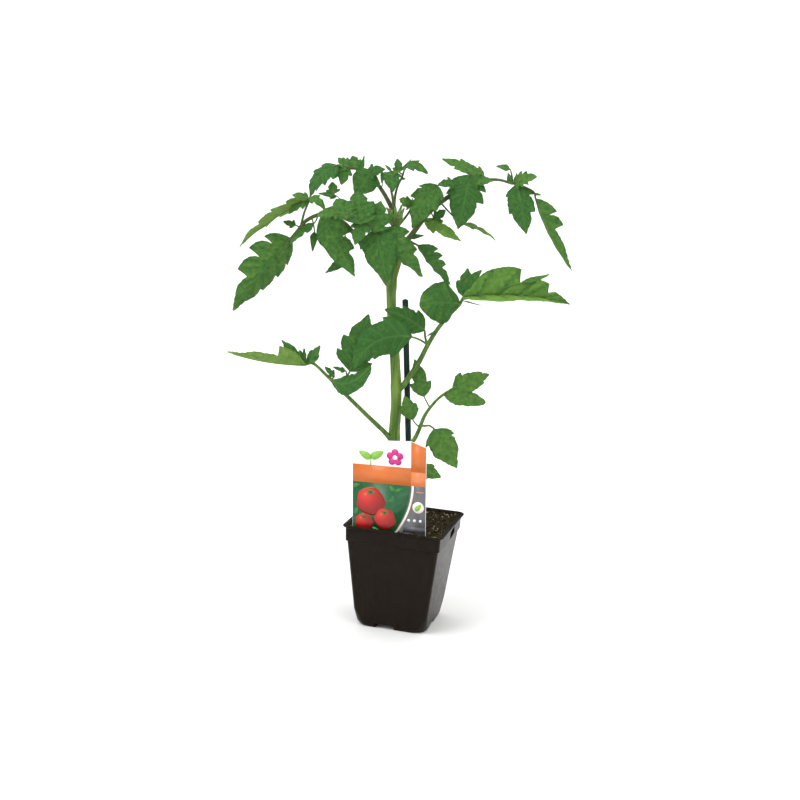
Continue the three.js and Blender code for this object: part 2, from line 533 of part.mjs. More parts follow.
// A sheet of triangles made into a closed plate, given the loop round its edge.
function thickened(points, triangles, loop, thickness) {
  const normals = points.map(() => new THREE.Vector3());
  triangles.forEach((face) => {
    const [a, b, c] = face.map((i) => points[i]);
    const normal = new THREE.Vector3().crossVectors(b.clone().sub(a), c.clone().sub(a));
    face.forEach((i) => normals[i].add(normal));
  });
  normals.forEach((normal) => normal.normalize());
  const offset = (distance) => points.map((p, i) => p.clone().addScaledVector(normals[i], distance));
  const count = points.length;
  const under = triangles.map(([a, b, c]) => [a + count, c + count, b + count]);
  const walls = loop.flatMap((a, i) => {
    const b = loop[(i + 1) % loop.length];
    return [[a, a + count, b], [b, a + count, b + count]];
  });
  return solid([...offset(thickness / 2), ...offset(-thickness / 2)], [...triangles, ...under, ...walls]);
}

function centreLine(route) {
  return new THREE.CatmullRomCurve3(route, false, 'centripetal').getSpacedPoints(route.length * 8);
}

function nearest(points, target) {
  return points.reduce((best, p) => (p.distanceTo(target) < best.distanceTo(target) ? p : best));
}

// The leaflets of one leaf. Each small stalk starts on the centre line of what it grows from, the
// leaf's own stalk or an earlier leaflet's, and runs a little way into its blade.
function foliage(leaflets, mainRoute) {
  const lines = centreLine(mainRoute);
  return leaflets.flatMap((leaflet) => {
    const points = leaflet.stalk.map(planted);
    const start = nearest(lines, points[0]);
    if (points.at(-1).distanceTo(start) < SUNK_BASE) return [blade(leaflet)];
    const between = points.filter((p) => p.distanceTo(start) > 1);
    const route = [start, ...between, bladeShape(leaflet)(STALK_REACH, 1, 0)];
    lines.push(...centreLine(route));
    const large = leaflet.width > SMALL_BLADE;
    const radius = large ? 1.1 : 0.75;
    return [blade(leaflet), stalk(route, [radius + 0.2, radius, 0.6], large ? 4 : 3)];
  });
}

function stemRoute() {
  return STEM.route.map(planted);
}

function makeStem() {
  const route = stemRoute();
  const roots = ROOTS.map((root) => stalk(root.map(planted), ROOT_RADII, ROOT_SIDES));
  return joined([stalk(route, STEM.radii, STEM_SIDES), ...roots, ...foliage(STEM.leaflets, route)]);
}

function makeStemClearance() {
  const roots = ROOTS.map((root) => stalk(root.map(planted), ROOT_RADII, ROOT_SIDES, GAP * 1.4));
  const route = stemRoute();
  route.at(-1).z += GAP;
  return joined([stalk(route, STEM.radii, STEM_SIDES, GAP), ...roots]);
}

function makeLeaf({ route, radii, leaflets }, clearance) {
  const points = route.map(planted);
  const whole = joined([stalk(points, radii, LEAF_STALK_SIDES), ...foliage(leaflets, points)]);
  return mainBody(whole.subtract(clearance));
}

function makePot() {
  const lip = LIP_WIDTH / 2;
  const collar = COLLAR_WIDTH / 2;
  const bodyTop = BODY_TOP_WIDTH / 2;
  const base = BASE_WIDTH / 2;
  const step = POT_HEIGHT - COLLAR_HEIGHT;
  const top = CORNER_RADIUS_TOP;
  const bottom = CORNER_RADIUS_BASE;
  const slope = (z) => lerp(base, bodyTop, z / step);
  const corner = (z) => lerp(bottom, top, Math.min(1, z / CORNER_RISE));
  const outside = [
    [base - 5 * EDGE, bottom - 2 * EDGE, 0],
    [base - 2 * EDGE, bottom, EDGE],
    ...[FOOT_ROUNDING, CORNER_RISE / 2, CORNER_RISE].map((z) => [slope(z), corner(z), z]),
    [bodyTop, top, step],
    [collar, top, step + 2 * EDGE],
    [collar + EDGE, top, POT_HEIGHT - LIP_THICKNESS],
    [lip - EDGE, LIP_CORNER, POT_HEIGHT - LIP_THICKNESS + EDGE],
    [lip, LIP_CORNER, POT_HEIGHT - LIP_THICKNESS + 2 * EDGE],
    [lip, LIP_CORNER, POT_HEIGHT - EDGE],
    [lip - EDGE, LIP_CORNER, POT_HEIGHT],
  ];
  const inside = [
    [lip - WALL, LIP_CORNER - WALL, POT_HEIGHT],
    [lip - WALL - EDGE, LIP_CORNER - WALL - EDGE, POT_HEIGHT - 2 * EDGE],
    [collar + EDGE - WALL, top - WALL, POT_HEIGHT - 2 * EDGE],
    [collar - WALL, top - WALL, POT_HEIGHT - 4 * EDGE],
    [collar - WALL - EDGE, top - WALL, step + WALL],
    [bodyTop - WALL, top - WALL, step],
    [slope(CORNER_RISE) - WALL, top - WALL, CORNER_RISE],
    [slope(FLOOR) - WALL, corner(FLOOR) - WALL, FLOOR],
  ];
  const rings = [...outside, ...inside].map(([half, radius, z]) => squareRing(half, radius, z));
  let pot = loft(rings);
  for (let i = 0; i < 4; i++) {
    const angle = i * Math.PI / 2;
    const recess = new THREE.BoxGeometry(DRAIN_WIDTH, 2 * DRAIN_DEPTH, 2 * DRAIN_HEIGHT);
    recess.translate(DRAIN_SHIFT, base, 0);
    recess.rotateZ(angle);
    const hole = new THREE.CylinderGeometry(DRAIN_HOLE / 2, DRAIN_HOLE / 2, 3 * FLOOR, 12);
    hole.rotateX(Math.PI / 2);
    hole.translate(DRAIN_SHIFT, base - DRAIN_DEPTH + DRAIN_HOLE / 2 + EDGE, 0);
    hole.rotateZ(angle);
    pot = pot.subtract(solidOf(recess)).subtract(solidOf(hole));
  }
  const slot = new THREE.BoxGeometry(SLOT.width, SLOT.width, SLOT.height);
  slot.rotateX(radians(SLOT.slant));
  slot.translate(COLLAR_WIDTH / 2, SLOT.y, SLOT.z);
  return pot.subtract(solidOf(slot));
}

// Small repeatable variations, always the same for the same number.
function scatter(seed) {
  const value = Math.sin(seed * 127.1 + 311.7) * 43758.5453;
  return value - Math.floor(value);
}

function makeSoil(cuts) {
  const step = POT_HEIGHT - COLLAR_HEIGHT;
  const inner = (z) => lerp(BASE_WIDTH / 2, BODY_TOP_WIDTH / 2, z / step) - WALL - 2 * GAP;
  const corner = CORNER_RADIUS_TOP - WALL;
  const topHalf = COLLAR_WIDTH / 2 - WALL - 1.3 * GAP;
  const rings = [
    squareRing(inner(FLOOR), CORNER_RADIUS_BASE - WALL, FLOOR + GAP),
    squareRing(inner(CORNER_RISE), corner, CORNER_RISE + GAP),
    squareRing(inner(step), corner, step - 2 * EDGE),
    squareRing(topHalf - EDGE, corner, step + 2 * WALL),
  ];
  for (let i = 0; i < SOIL_RINGS; i++) {
    const share = 1 - i / SOIL_RINGS;
    const ring = squareRing(topHalf * share, corner * share, SOIL_TOP - SOIL_CROWN * share);
    ring.forEach((p, j) => {
      p.z += (scatter(i * ring.length + j) - 0.5) * SOIL_ROUGHNESS;
    });
    rings.push(ring);
  }
  return mainBody(cuts.reduce((soil, cut) => soil.subtract(cut), loft(rings)));
}

// The stake stands between the stem and the right side and leans with the stem.
const STAKE_FOOT = [13, 8, 14];
const STAKE_HEAD = [-13, 8, 336];

function makeStake(extra = 0) {
  const profile = [[0, 0], [STAKE_RADIUS / 2, 0], [STAKE_RADIUS, STAKE_POINT]];
  for (let at = STAKE_KNOT_SPACING; at < STAKE_LENGTH; at += STAKE_KNOT_SPACING) {
    profile.push([STAKE_RADIUS, at - STAKE_RADIUS], [STAKE_RADIUS + STAKE_KNOT_RISE, at],
      [STAKE_RADIUS, at + STAKE_RADIUS]);
  }
  profile.push([STAKE_RADIUS, STAKE_LENGTH - 1], [STAKE_RADIUS - 1, STAKE_LENGTH], [0, STAKE_LENGTH]);
  const points = profile.map(([radius, z]) => new THREE.Vector2(radius > 0 ? radius + extra : 0, z));
  const geometry = new THREE.LatheGeometry(points, STAKE_SIDES);
  geometry.rotateX(Math.PI / 2);
  const foot = planted(STAKE_FOOT);
  const direction = planted(STAKE_HEAD).sub(foot).normalize();
  geometry.applyQuaternion(new THREE.Quaternion().setFromUnitVectors(UP, direction));
  geometry.translate(foot.x, foot.y, foot.z);
  return solidOf(geometry);
}

// The label: a card with round corners, its right strip cut lower, on a spike in the soil.
const LABEL_BOTTOM = 98.5;
const LABEL_CENTRE = -4.5;
const LABEL_Y = -43;

function labelOutline(extra) {
  const half = LABEL_WIDTH / 2 + extra;
  const top = LABEL_HEIGHT - LABEL_KINK + extra;
  const foot = LABEL_SPIKE_FOOT_HALF + extra;
  const shape = new THREE.Shape();
  shape.moveTo(-half + LABEL_CORNER, -extra);
  shape.lineTo(-LABEL_SPIKE_HALF - extra, -LABEL_SPIKE_TAPER);
  shape.lineTo(-foot, -LABEL_SPIKE_LENGTH - extra);
  shape.lineTo(foot, -LABEL_SPIKE_LENGTH - extra);
  shape.lineTo(LABEL_SPIKE_HALF + extra, -LABEL_SPIKE_TAPER);
  shape.lineTo(half - LABEL_CORNER, -extra);
  shape.quadraticCurveTo(half, -extra, half, LABEL_CORNER);
  shape.lineTo(half, top - LABEL_SHOULDER + LABEL_KINK);
  shape.lineTo(half - LABEL_STRIP_WIDTH, top + LABEL_KINK);
  shape.lineTo(-half + LABEL_CORNER, top);
  shape.quadraticCurveTo(-half, top, -half, top - LABEL_CORNER);
  shape.lineTo(-half, LABEL_CORNER);
  shape.quadraticCurveTo(-half, -extra, -half + LABEL_CORNER, -extra);
  return shape;
}

function makeLabel(extra = 0) {
  const depth = LABEL_THICKNESS + 2 * extra;
  const outline = labelOutline(extra);
  const geometry = new THREE.ExtrudeGeometry(outline, { depth, bevelEnabled: false, curveSegments: 4 });
  geometry.translate(0, 0, -depth / 2);
  geometry.rotateX(Math.PI / 2 + LABEL_TIP_FORWARD);
  geometry.rotateY(-LABEL_LEAN);
  geometry.translate(LABEL_CENTRE, LABEL_Y, LABEL_BOTTOM);
  return solidOf(geometry);
}

// The assembly.

const finish = {
  pot: new THREE.MeshStandardMaterial({ color: 0x2a2623, roughness: 0.42, metalness: 0 }),
  soil: new THREE.MeshStandardMaterial({ color: 0x2e2618, roughness: 0.95, metalness: 0 }),
  stem: new THREE.MeshStandardMaterial({ color: 0x6f9340, roughness: 0.6, metalness: 0 }),
  leaf: new THREE.MeshStandardMaterial({ color: 0x3f7a34, roughness: 0.55, metalness: 0 }),
  youngLeaf: new THREE.MeshStandardMaterial({ color: 0x5f9a3c, roughness: 0.55, metalness: 0 }),
  stake: new THREE.MeshStandardMaterial({ color: 0x12262a, roughness: 0.5, metalness: 0 }),
  label: new THREE.MeshStandardMaterial({ color: 0xee7a2e, roughness: 0.35, metalness: 0 }),
};

const group = new THREE.Group();

function addPiece(name, manifold, material) {
  const mesh = new THREE.Mesh(geometryOf(manifold), material);
  mesh.name = name;
  group.add(mesh);
}

const stemClearance = makeStemClearance();
addPiece('pot', makePot(), finish.pot);
addPiece('soil', makeSoil([stemClearance, makeStake(GAP), makeLabel(GAP)]), finish.soil);
addPiece('stake', makeStake(), finish.stake);
addPiece('label', makeLabel(), finish.label);
addPiece('stem', makeStem(), finish.stem);
for (const [name, leaf] of Object.entries(LEAVES)) {
  addPiece(name, makeLeaf(leaf, stemClearance), name.startsWith('young') ? finish.youngLeaf : finish.leaf);
}

export default group;
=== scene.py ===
"""A young tomato plant in a square plastic pot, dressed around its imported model.

Sizes and places are millimetres in the pot's frame, as in the part's source: +Z is up and the
origin is the middle of the pot's base. Meshes and lights are turned into metres by MM.
"""

import itertools
import math

import bpy
import numpy as np
from mathutils import Matrix, Vector, noise


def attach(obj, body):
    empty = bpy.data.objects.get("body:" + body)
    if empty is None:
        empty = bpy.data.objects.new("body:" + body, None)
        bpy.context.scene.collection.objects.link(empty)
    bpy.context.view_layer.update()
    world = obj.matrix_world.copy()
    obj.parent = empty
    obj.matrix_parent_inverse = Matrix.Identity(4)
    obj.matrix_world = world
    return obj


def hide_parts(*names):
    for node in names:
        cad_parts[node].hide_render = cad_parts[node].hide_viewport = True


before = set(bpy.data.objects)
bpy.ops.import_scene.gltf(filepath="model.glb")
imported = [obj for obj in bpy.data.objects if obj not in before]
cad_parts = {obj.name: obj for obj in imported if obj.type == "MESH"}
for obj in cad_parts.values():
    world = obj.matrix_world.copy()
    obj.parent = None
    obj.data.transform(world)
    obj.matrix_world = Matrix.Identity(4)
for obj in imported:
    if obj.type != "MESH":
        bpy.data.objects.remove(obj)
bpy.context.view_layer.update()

MM = 0.001
SEED = 20

# The camera that fits the photograph, found from the pot's corners: it stands to the right of the
# pot's front face, looks down a little, and is rolled. Its target is a point of the plant.
CAMERA_TURN = math.radians(14.5)
CAMERA_PITCH = math.radians(12.1)
CAMERA_ROLL = math.radians(3.4)
CAMERA_DISTANCE = 1500
CAMERA_TARGET_ACROSS = -12.2
CAMERA_TARGET_HEIGHT = 233.3
FOCAL_PIXELS = 1479
FRAME_PIXELS = 800
SENSOR_WIDTH = 36

# The pot, as in the part's source.
LIP_WIDTH = 105
POT_HEIGHT = 108.5
COLLAR_HEIGHT = 17
COLLAR_WIDTH = 98
BODY_TOP_WIDTH = 95
BASE_WIDTH = 74
WALL = 1.4
FLOOR = 6.5
CORNER_RADIUS_TOP = 4
CORNER_RADIUS_BASE = 14
CORNER_RISE = 18
CORNER_STEPS = 12
FOOT_ROUNDING = 4
LIP_THICKNESS = 2.2
LIP_CORNER = 8
EDGE = 0.5
DRAIN_WIDTH = 20
DRAIN_DEPTH = 14
DRAIN_HEIGHT = 5
DRAIN_HOLE = 8
DRAIN_SHIFT = 5.5
SLOT = {"width": 18, "height": 8, "slant": 12, "y": 9, "z": 98}

# The soil's surface.
SOIL_TOP = 107.2
SOIL_CROWN = 1.2
SOIL_RELIEF = 1.1
SOIL_RINGS = 46
SOIL_RING_POINTS = 340
SOIL_GAP = 0.4
SOIL_GAP_BELOW = 0.6
CLOD_COUNT = 2600
CLOD_SIZES = (0.45, 1.95)
FIBRE_COUNT = 70
FIBRE_LENGTHS = (2, 7)
FIBRE_RADII = (0.15, 0.42)

# The stake and the label.
STAKE_RADIUS = 3.1
STAKE_LENGTH = 322
STAKE_KNOT_SPACING = 70
STAKE_KNOT_RISE = 0.35
STAKE_POINT = 5
STAKE_SIDES = 28
STAKE_FOOT = (13, 8, 14)
STAKE_HEAD = (-13, 8, 336)
LABEL_WIDTH = 76
LABEL_HEIGHT = 104
LABEL_THICKNESS = 0.8
LABEL_STRIP_WIDTH = 15.5
LABEL_CORNER = 6
LABEL_KINK = 3
LABEL_SHOULDER = 5
LABEL_SPIKE_LENGTH = 40
LABEL_SPIKE_HALF = 4.5
LABEL_SPIKE_FOOT_HALF = 0.5
LABEL_SPIKE_TAPER = 10
LABEL_LEAN = math.radians(2.2)
LABEL_TIP_FORWARD = math.radians(3)
LABEL_PLACE = (-4.5, -43, 98.5)

# The label's print: its band, its free edge, the height of each layer over the card, its sheen, and
# the places of two of its motifs.
BAND_LOW = 58
BAND_HIGH = 76.5
PRINT_MARGIN = 0.25
PRINT_LAYER = 0.04
PRINT_ROUGHNESS = 0.34
SPROUT_PLACE = (-19, 79)
FLOWER_PLACE = (6, 86)

# The studio, in metres: its floor, the sweep at the floor's edge, and what the lights face.
STUDIO_RADIUS = 3.2
STUDIO_SWEEP = 1.2
STUDIO_HEIGHT = 3.0
STUDIO_SIDES = 96
LIGHT_AIM = (0, 0, 0.22)

# Each light: its azimuth, with 0 in front and 90 on the right, its elevation, distance, size and
# power, and the way that it shines if it doesn't face the plant.
LIGHTS = {
    "key_light": (-38, 42, 1.9, 1.1, 18),
    "fill_light": (56, 30, 2.1, 1.4, 7),
    "top_light": (10, 84, 1.9, 1.6, 9),
    "wall_light": (180, 60, 2.0, 2.0, 38, (0, 0.9, -0.6)),
}

# The plant stands a little turned in its pot. Its own points are in its turned frame.
PLANT_TURN = math.radians(14.5)

# The main stem, from its root to the growing tip.
STEM_ROUTE = [(-8, 1, 52), (-9, 0, 80), (-11, 0, 104), (-13, 0, 150), (-16, 0, 194), (-16, 0, 232),
    (-20, 0, 277), (-27, 0, 336), (-27, 0, 355), (-23, 0, 373), (-20, 0, 388), (-24, 0, 403),
    (-28, 0, 415), (-29, 0, 424)]
STEM_RADII = [1.2, 3.2, 5.6, 5.6, 5.6, 5.4, 5, 4.8, 4.6, 4.1, 3.8, 3.2, 2.7, 1.8]


FRONT_AND_UP = (0, -0.8, 0.6)


def leaflet(stalk, tip, width, face=FRONT_AND_UP, lobes=0, cut=0.35, arch=0, bend=0, fold=0, curl=0,
    blunt=0, tone=0, pale_edge=0):
    """The facts of one leaflet: the points of its own stalk, of which the last is the blade's base,
    its tip, its whole width, the way its upper side faces, its lobes (a count for each side, or the
    shares of its length where their tips lie), how deep the notches are (for both sides or for
    each, with 0 for a smooth side), how it arches, bends sideways, folds along its midrib and
    curls at its edges, whether its end is round, how much paler it is than its leaf, and whether
    its smooth side is turned, so that the pale underside shows along the edge."""
    return dict(stalk=stalk, tip=tip, width=width, face=face, lobes=lobes, cut=cut, arch=arch,
        bend=bend, fold=fold, curl=curl, blunt=blunt, tone=tone, pale_edge=pale_edge)


def leaf(route, radii, *leaflets, tone=0, dusk=0):
    """The facts of one compound leaf: its stalk's points from the stem to its end leaflet, their
    radii, its leaflets, how far its colour lies from the common green towards pale yellow green,
    and how far its stalks lie towards a dusky purple brown."""
    return dict(route=route, radii=radii, leaflets=leaflets, tone=tone, dusk=dusk)


# The small shoots round the growing tip.
SHOOTS = [
    leaflet([(-28, 0, 414)], (-37, 0, 427), 5, (-0.3, -1, 0.2)),
    leaflet([(-26, 0, 411)], (-22, 3, 430), 5, (0.2, -1, 0.2)),
    leaflet([(-26, 0, 410)], (-19, -4, 428), 5, (0.4, -1, 0.2)),
    leaflet([(-27, -2, 409)], (-36, -9, 417), 5, (-0.2, -1, 0.4)),
    leaflet([(-25, -1, 409)], (-20, -8, 419), 4, (0.3, -1, 0.4)),
    leaflet([(-27, -2, 407)], (-34, -11, 427), 5, (-0.2, -1, 0.2)),
    leaflet([(-26, -2, 407)], (-28, -12, 430), 5, (0, -1, 0.2)),
    leaflet([(-25, -2, 407)], (-22, -11, 426), 4, (0.3, -1, 0.2)),
]

# Each compound leaf.
LEAVES = {
    "leaf_lower_left": leaf(
        [(-18, -1, 190), (-24, -4, 198), (-39, -7, 212), (-54, -10, 226), (-71, -13, 242), (-88, -15, 258),
            (-102, -16, 269), (-109, -17, 267)],
        [2.7, 2.5, 2.2, 2.1, 1.9, 1.6, 1.4, 1.2],
        leaflet([(-108, -17, 267)], (-186, -26, 277), 36, (0.1, 0.35, 0.93), lobes=[0.32], cut=0.5,
            arch=-0.04, fold=35, curl=-30, tone=0.38),
        leaflet([(-111, -16, 269)], (-134, -12, 290), 13, (0.1, -0.8, 0.6), lobes=1),
        leaflet([(-109, -17, 266)], (-111, -14, 284), 7, (-0.6, -0.8, 0.1), lobes=1),
        leaflet([(-106, -17, 268)], (-95, -12, 287), 12, (-0.4, -0.9, 0.1), lobes=[0.6], cut=0.15),
        leaflet([(-75, -13, 246), (-68, -15, 255), (-64, -16, 263)], (-48, -12, 321), 38,
            (-0.2, -0.97, 0.1), lobes=[0.24, 0.5], cut=0.22, arch=0.06, fold=-8, tone=-0.05),
        leaflet([(-84, -15, 255), (-81, -17, 253)], (-43, -32, 273), 22, arch=0.1, bend=-0.26, fold=-10,
            curl=25, blunt=1, tone=0.02),
        leaflet([(-67, -15, 258), (-68, -16, 263)], (-81, -19, 267), 7, (0, -0.6, 0.8), lobes=1),
        leaflet([(-82, -14, 253), (-79, -16, 257)], (-89, -20, 267), 8, (0.3, -0.8, 0.5), lobes=1),
    ),
    "leaf_right": leaf(
        [(-16, 0, 242), (-10, -3, 249), (-3, -6, 261), (5, -8, 276), (13, -11, 295), (22, -13, 312),
            (32, -15, 326), (41, -17, 337), (44, -18, 344)],
        [3.2, 3, 2.7, 2.6, 2.3, 2.1, 1.9, 1.7, 1.4],
        leaflet([(44, -18, 343)], (148, -30, 345), 56, (0, -0.6, 0.8), lobes=[0.48, 0.74], cut=[0.45, 0],
            arch=0.07, fold=38, curl=10, tone=0.33, pale_edge=1),
        leaflet([(44, -18, 345)], (47, -13, 373), 19, (-0.3, -0.95, 0.1), lobes=[0.5], cut=0.15, fold=-10),
        leaflet([(45, -18, 346)], (61, -14, 372), 14, (0.2, -0.95, 0.2), lobes=[0.6], cut=0.15, bend=0.08),
        leaflet([(44, -18, 341)], (62, -22, 338), 3, (0, -0.2, 1)),
        leaflet([(46, -19, 344), (74, -24, 353), (101, -27, 364)], (127, -24, 373), 6, (0.2, -0.8, 0.6),
            arch=-0.06, tone=0.3),
        leaflet([(41, -18, 338), (40, -20, 338)], (1, -30, 336), 42, (-0.1, -0.97, 0.15), arch=0.1,
            bend=-0.04, fold=-10, curl=15, blunt=1),
        leaflet([(12, -11, 293), (4, -16, 299), (-4, -20, 302)], (-60, -26, 268), 38, (0, -0.98, 0.1),
            lobes=[0.32, 0.68], cut=0.1, arch=0.08, bend=-0.2, fold=-6, tone=-0.1),
        leaflet([(12, -11, 294), (9, -12, 302), (8, -12, 308)], (-33, -13, 327), 24, (0, -0.95, 0.3),
            lobes=[0.35, 0.65], cut=0.2, arch=0.05, bend=-0.05, tone=-0.05),
        leaflet([(21, -13, 307)], (10, -19, 303), 3, (0, -0.7, 0.7), arch=0.15),
    ),
    "leaf_lower_right": leaf(
        [(-12, -1, 175), (-4, -6, 184), (4, -8, 194), (9, -9, 206), (13, -9, 219), (18, -8, 228),
            (27, -6, 239), (37, -4, 247), (42, -3, 250)],
        [2.4, 2.3, 2.2, 2, 1.8, 1.6, 1.4, 1.2, 1],
        leaflet([(40, -3, 248)], (76, -8, 267), 24, (0.1, -0.9, 0.4), lobes=[0.3, 0.8], cut=0.2, arch=0.06,
            fold=-8),
        leaflet([(32, -5, 242)], (74, -12, 238), 17, (0, -0.85, 0.5), arch=0.08, blunt=1),
        leaflet([(18, -8, 230), (15, -6, 234), (12, -4, 239)], (0, 2, 276), 20, (0.1, -0.98, 0.1), lobes=1,
            fold=-6),
        leaflet([(10, -9, 209), (5, -10, 212), (2, -11, 216)], (-8, -14, 241), 18, (0, -1, 0.1),
            lobes=[0.6], cut=0.12, fold=-8),
        leaflet([(14, -9, 210), (19, -11, 211), (24, -12, 208)], (49, -22, 171), 34, (0.15, -0.95, 0.25),
            lobes=[0.24], cut=0.18, arch=0.08, fold=-12, curl=20),
        leaflet([(1, -7, 190), (4, -12, 180), (12, -15, 168)], (34, -20, 160), 16, (0, -0.9, 0.4),
            lobes=[0.5], cut=0.12),
        tone=0.3,
    ),
    "leaf_left": leaf(
        [(-27, 0, 346), (-33, 2, 353), (-44, 6, 367), (-55, 9, 381), (-68, 10, 398), (-82, 10, 410),
            (-101, 9, 415), (-116, 6, 408), (-123, 4, 399), (-130, 3, 390)],
        [3.4, 3.2, 2.8, 2.6, 2.4, 2.2, 2, 1.8, 1.6, 1.3],
        leaflet([(-130, 3, 390)], (-184, -8, 316), 46, (0.41, -0.85, -0.16), lobes=[0.17, 0.36, 0.6],
            cut=[0.16, 0.5], arch=0.06, bend=-0.05, fold=-16, curl=10),
        leaflet([(-101, 6, 416), (-100, 3, 415)], (-64, -8, 357), 31, (0, -0.97, 0.1), lobes=[0.36, 0.6],
            cut=[0.45, 0], arch=0.08, fold=-10),
        leaflet([(-110, 6, 410), (-107, 6, 398)], (-108, 3, 378), 7, (0, -1, 0.2)),
        leaflet([(-84, 11, 409), (-77, 17, 395), (-72, 14, 374)], (-95, 12, 356), 10, (-0.1, -1, 0.1),
            tone=-0.45),
        leaflet([(-121, 4, 401), (-126, 7, 403)], (-139, 9, 406), 9, lobes=1),
        leaflet([(-105, 7, 412), (-108, 4, 406)], (-130, -5, 385), 15, (-0.3, -0.5, 0.8), lobes=1,
            arch=0.08),
        leaflet([(-121, 5, 403), (-118, 4, 416), (-114, 3, 429)], (-180, -6, 380), 34, (-0.3, 0.35, 0.87),
            lobes=[0.2, 0.4, 0.6], cut=0.3, arch=0.05, fold=15, curl=10, tone=0.2),
        leaflet([(-115, 3, 423), (-114, 3, 431)], (-97, 0, 420), 12, (0, -0.7, 0.7), lobes=1, arch=0.3,
            tone=0.2),
        leaflet([(-114, 3, 429)], (-131, 5, 433), 11, lobes=1, arch=0.15, tone=0.2),
        leaflet([(-115, 3, 428)], (-133, 0, 414), 12, (-0.2, -0.8, 0.5), lobes=1, arch=0.2, tone=0.2),
        leaflet([(-78, 8, 421), (-80, 7, 428), (-88, 6, 435)], (-105, 5, 436), 6),
        leaflet([(-90, 6, 436)], (-92, 8, 448), 13, (0, -0.95, 0.3), lobes=1, tone=0.05),
        leaflet([(-87, 6, 434)], (-94, 4, 431), 3),
        tone=0.12, dusk=0.45,
    ),
    "leaf_front": leaf(
        [(-23, -1, 388), (-28, -5, 392), (-36, -11, 399), (-44, -17, 406), (-56, -22, 414), (-71, -25, 419),
            (-84, -26, 420)],
        [2.6, 2.4, 2.2, 2, 1.8, 1.5, 1.2],
        leaflet([(-46, -18, 407)], (-31, -24, 355), 36, (-0.1, -0.98, 0.1), lobes=[0.3], cut=0.12,
            arch=0.06),
        leaflet([(-44, -17, 407)], (3, -22, 363), 44, (-0.5, -0.7, -0.33), lobes=[0.3, 0.62], cut=0.22,
            arch=0.08, fold=-42),
        leaflet([(-46, -18, 407), (-47, -23, 404)], (-43, -8, 433), 29, lobes=2, arch=0.08, tone=0.12),
        leaflet([(-60, -22, 415), (-61, -27, 411)], (-66, -6, 441), 35, lobes=2, arch=0.08, tone=0.12),
        leaflet([(-74, -25, 419), (-75, -29, 415)], (-85, -10, 433), 30, lobes=2, arch=0.08, tone=0.18),
        leaflet([(-58, -22, 414)], (-65, -31, 391), 19, (-0.2, -0.9, 0.3), lobes=1),
        leaflet([(-84, -26, 420)], (-103, -32, 417), 20, (-0.1, -0.6, 0.8), lobes=2, arch=0.1, tone=0.25),
        dusk=0.5,
    ),
    "leaf_upper_left": leaf(
        [(-28, 2, 417), (-32, 6, 426), (-36, 7, 433), (-43, 9, 443), (-52, 12, 453), (-61, 14, 459),
            (-73, 15, 462), (-82, 16, 463), (-88, 16, 464)],
        [2.5, 2.4, 2.2, 2, 1.8, 1.6, 1.3, 1.1, 0.9],
        leaflet([(-87, 16, 464)], (-114, 14, 430), 26, (-0.3, -0.6, 0.7), lobes=[0.25, 0.5, 0.72], cut=0.2,
            arch=0.22, curl=20, tone=-0.05),
        leaflet([(-79, 15, 463)], (-83, 9, 445), 14, (0, -0.95, 0.2), lobes=1),
        leaflet([(-84, 16, 463)], (-90, 11, 451), 8, (0, -0.95, 0.2)),
        leaflet([(-55, 12, 456), (-53, 10, 461)], (-69, 4, 436), 29, (0.1, -0.95, 0.3), lobes=[0.3],
            cut=0.1, tone=-0.05),
        leaflet([(-58, 13, 457)], (-40, 8, 463), 15, (0, -0.85, 0.5), lobes=1, arch=0.15),
        leaflet([(-75, 15, 462)], (-88, 20, 471), 17, lobes=2, tone=0.05),
        leaflet([(-68, 15, 461)], (-74, 22, 474), 17, lobes=2, tone=0.05),
        leaflet([(-64, 14, 461)], (-62, 18, 475), 4, (0, -0.9, 0.4)),
        leaflet([(-43, 9, 445), (-42, 7, 453)], (-45, 5, 466), 3, (0, -0.9, 0.4), arch=0.1),
        tone=0.08, dusk=0.9,
    ),
    "leaf_upper_right": leaf(
        [(-21, 2, 384), (-17, 4, 391), (-10, 6, 401), (6, 9, 424), (23, 11, 439), (38, 13, 450),
            (54, 14, 457), (73, 14, 459), (86, 13, 456)],
        [3.2, 3, 2.7, 2.5, 2.3, 2, 1.7, 1.4, 1.1],
        leaflet([(17, 10, 433), (13, 7, 443), (11, 4, 451)], (-10, -5, 408), 31, (-0.3, -0.9, 0.3),
            lobes=[0.18, 0.45], cut=0.28, arch=0.12, tone=0.05),
        leaflet([(42, 13, 453), (44, 9, 463)], (35, -1, 409), 37, (0, -0.97, 0.2), lobes=[0.2, 0.42],
            cut=[0.3, 0.16], arch=0.06, fold=-10),
        leaflet([(56, 14, 459), (58, 14, 461)], (15, 20, 476), 17, (-0.1, -0.8, 0.6), lobes=2, arch=0.06,
            tone=0.2),
        leaflet([(45, 13, 453)], (67, 5, 458), 15, lobes=1, arch=0.15, tone=0.05),
        leaflet([(32, 12, 446), (29, 8, 453)], (12, 2, 451), 13, lobes=1, arch=0.12),
        # Painted light: this leaflet's high tone stands for light shining through the blade from behind.
        leaflet([(1, 8, 416)], (39, 4, 397), 17, (0.3, -0.8, 0.5), lobes=1, arch=0.05, tone=0.8),
        leaflet([(7, 9, 424), (11, 7, 418)], (22, 5, 427), 12, (0, -0.9, 0.4), lobes=1),
        # Painted light: this leaflet's high tone stands for light shining through the blade from behind.
        leaflet([(17, 10, 433), (27, 16, 423), (38, 17, 414)], (74, 14, 399), 13, (0.3, -0.3, 0.9), lobes=1,
            arch=0.08, tone=0.75),
        leaflet([(-14, 5, 396), (-9, 2, 393), (-4, 1, 391)], (31, -7, 354), 28, (-0.52, -0.7, -0.3),
            lobes=[0.25, 0.42, 0.6], cut=[0.35, 0.1], arch=0.05, fold=-42),
        leaflet([(-12, 6, 398)], (2, 2, 401), 5, (0, -0.9, 0.4)),
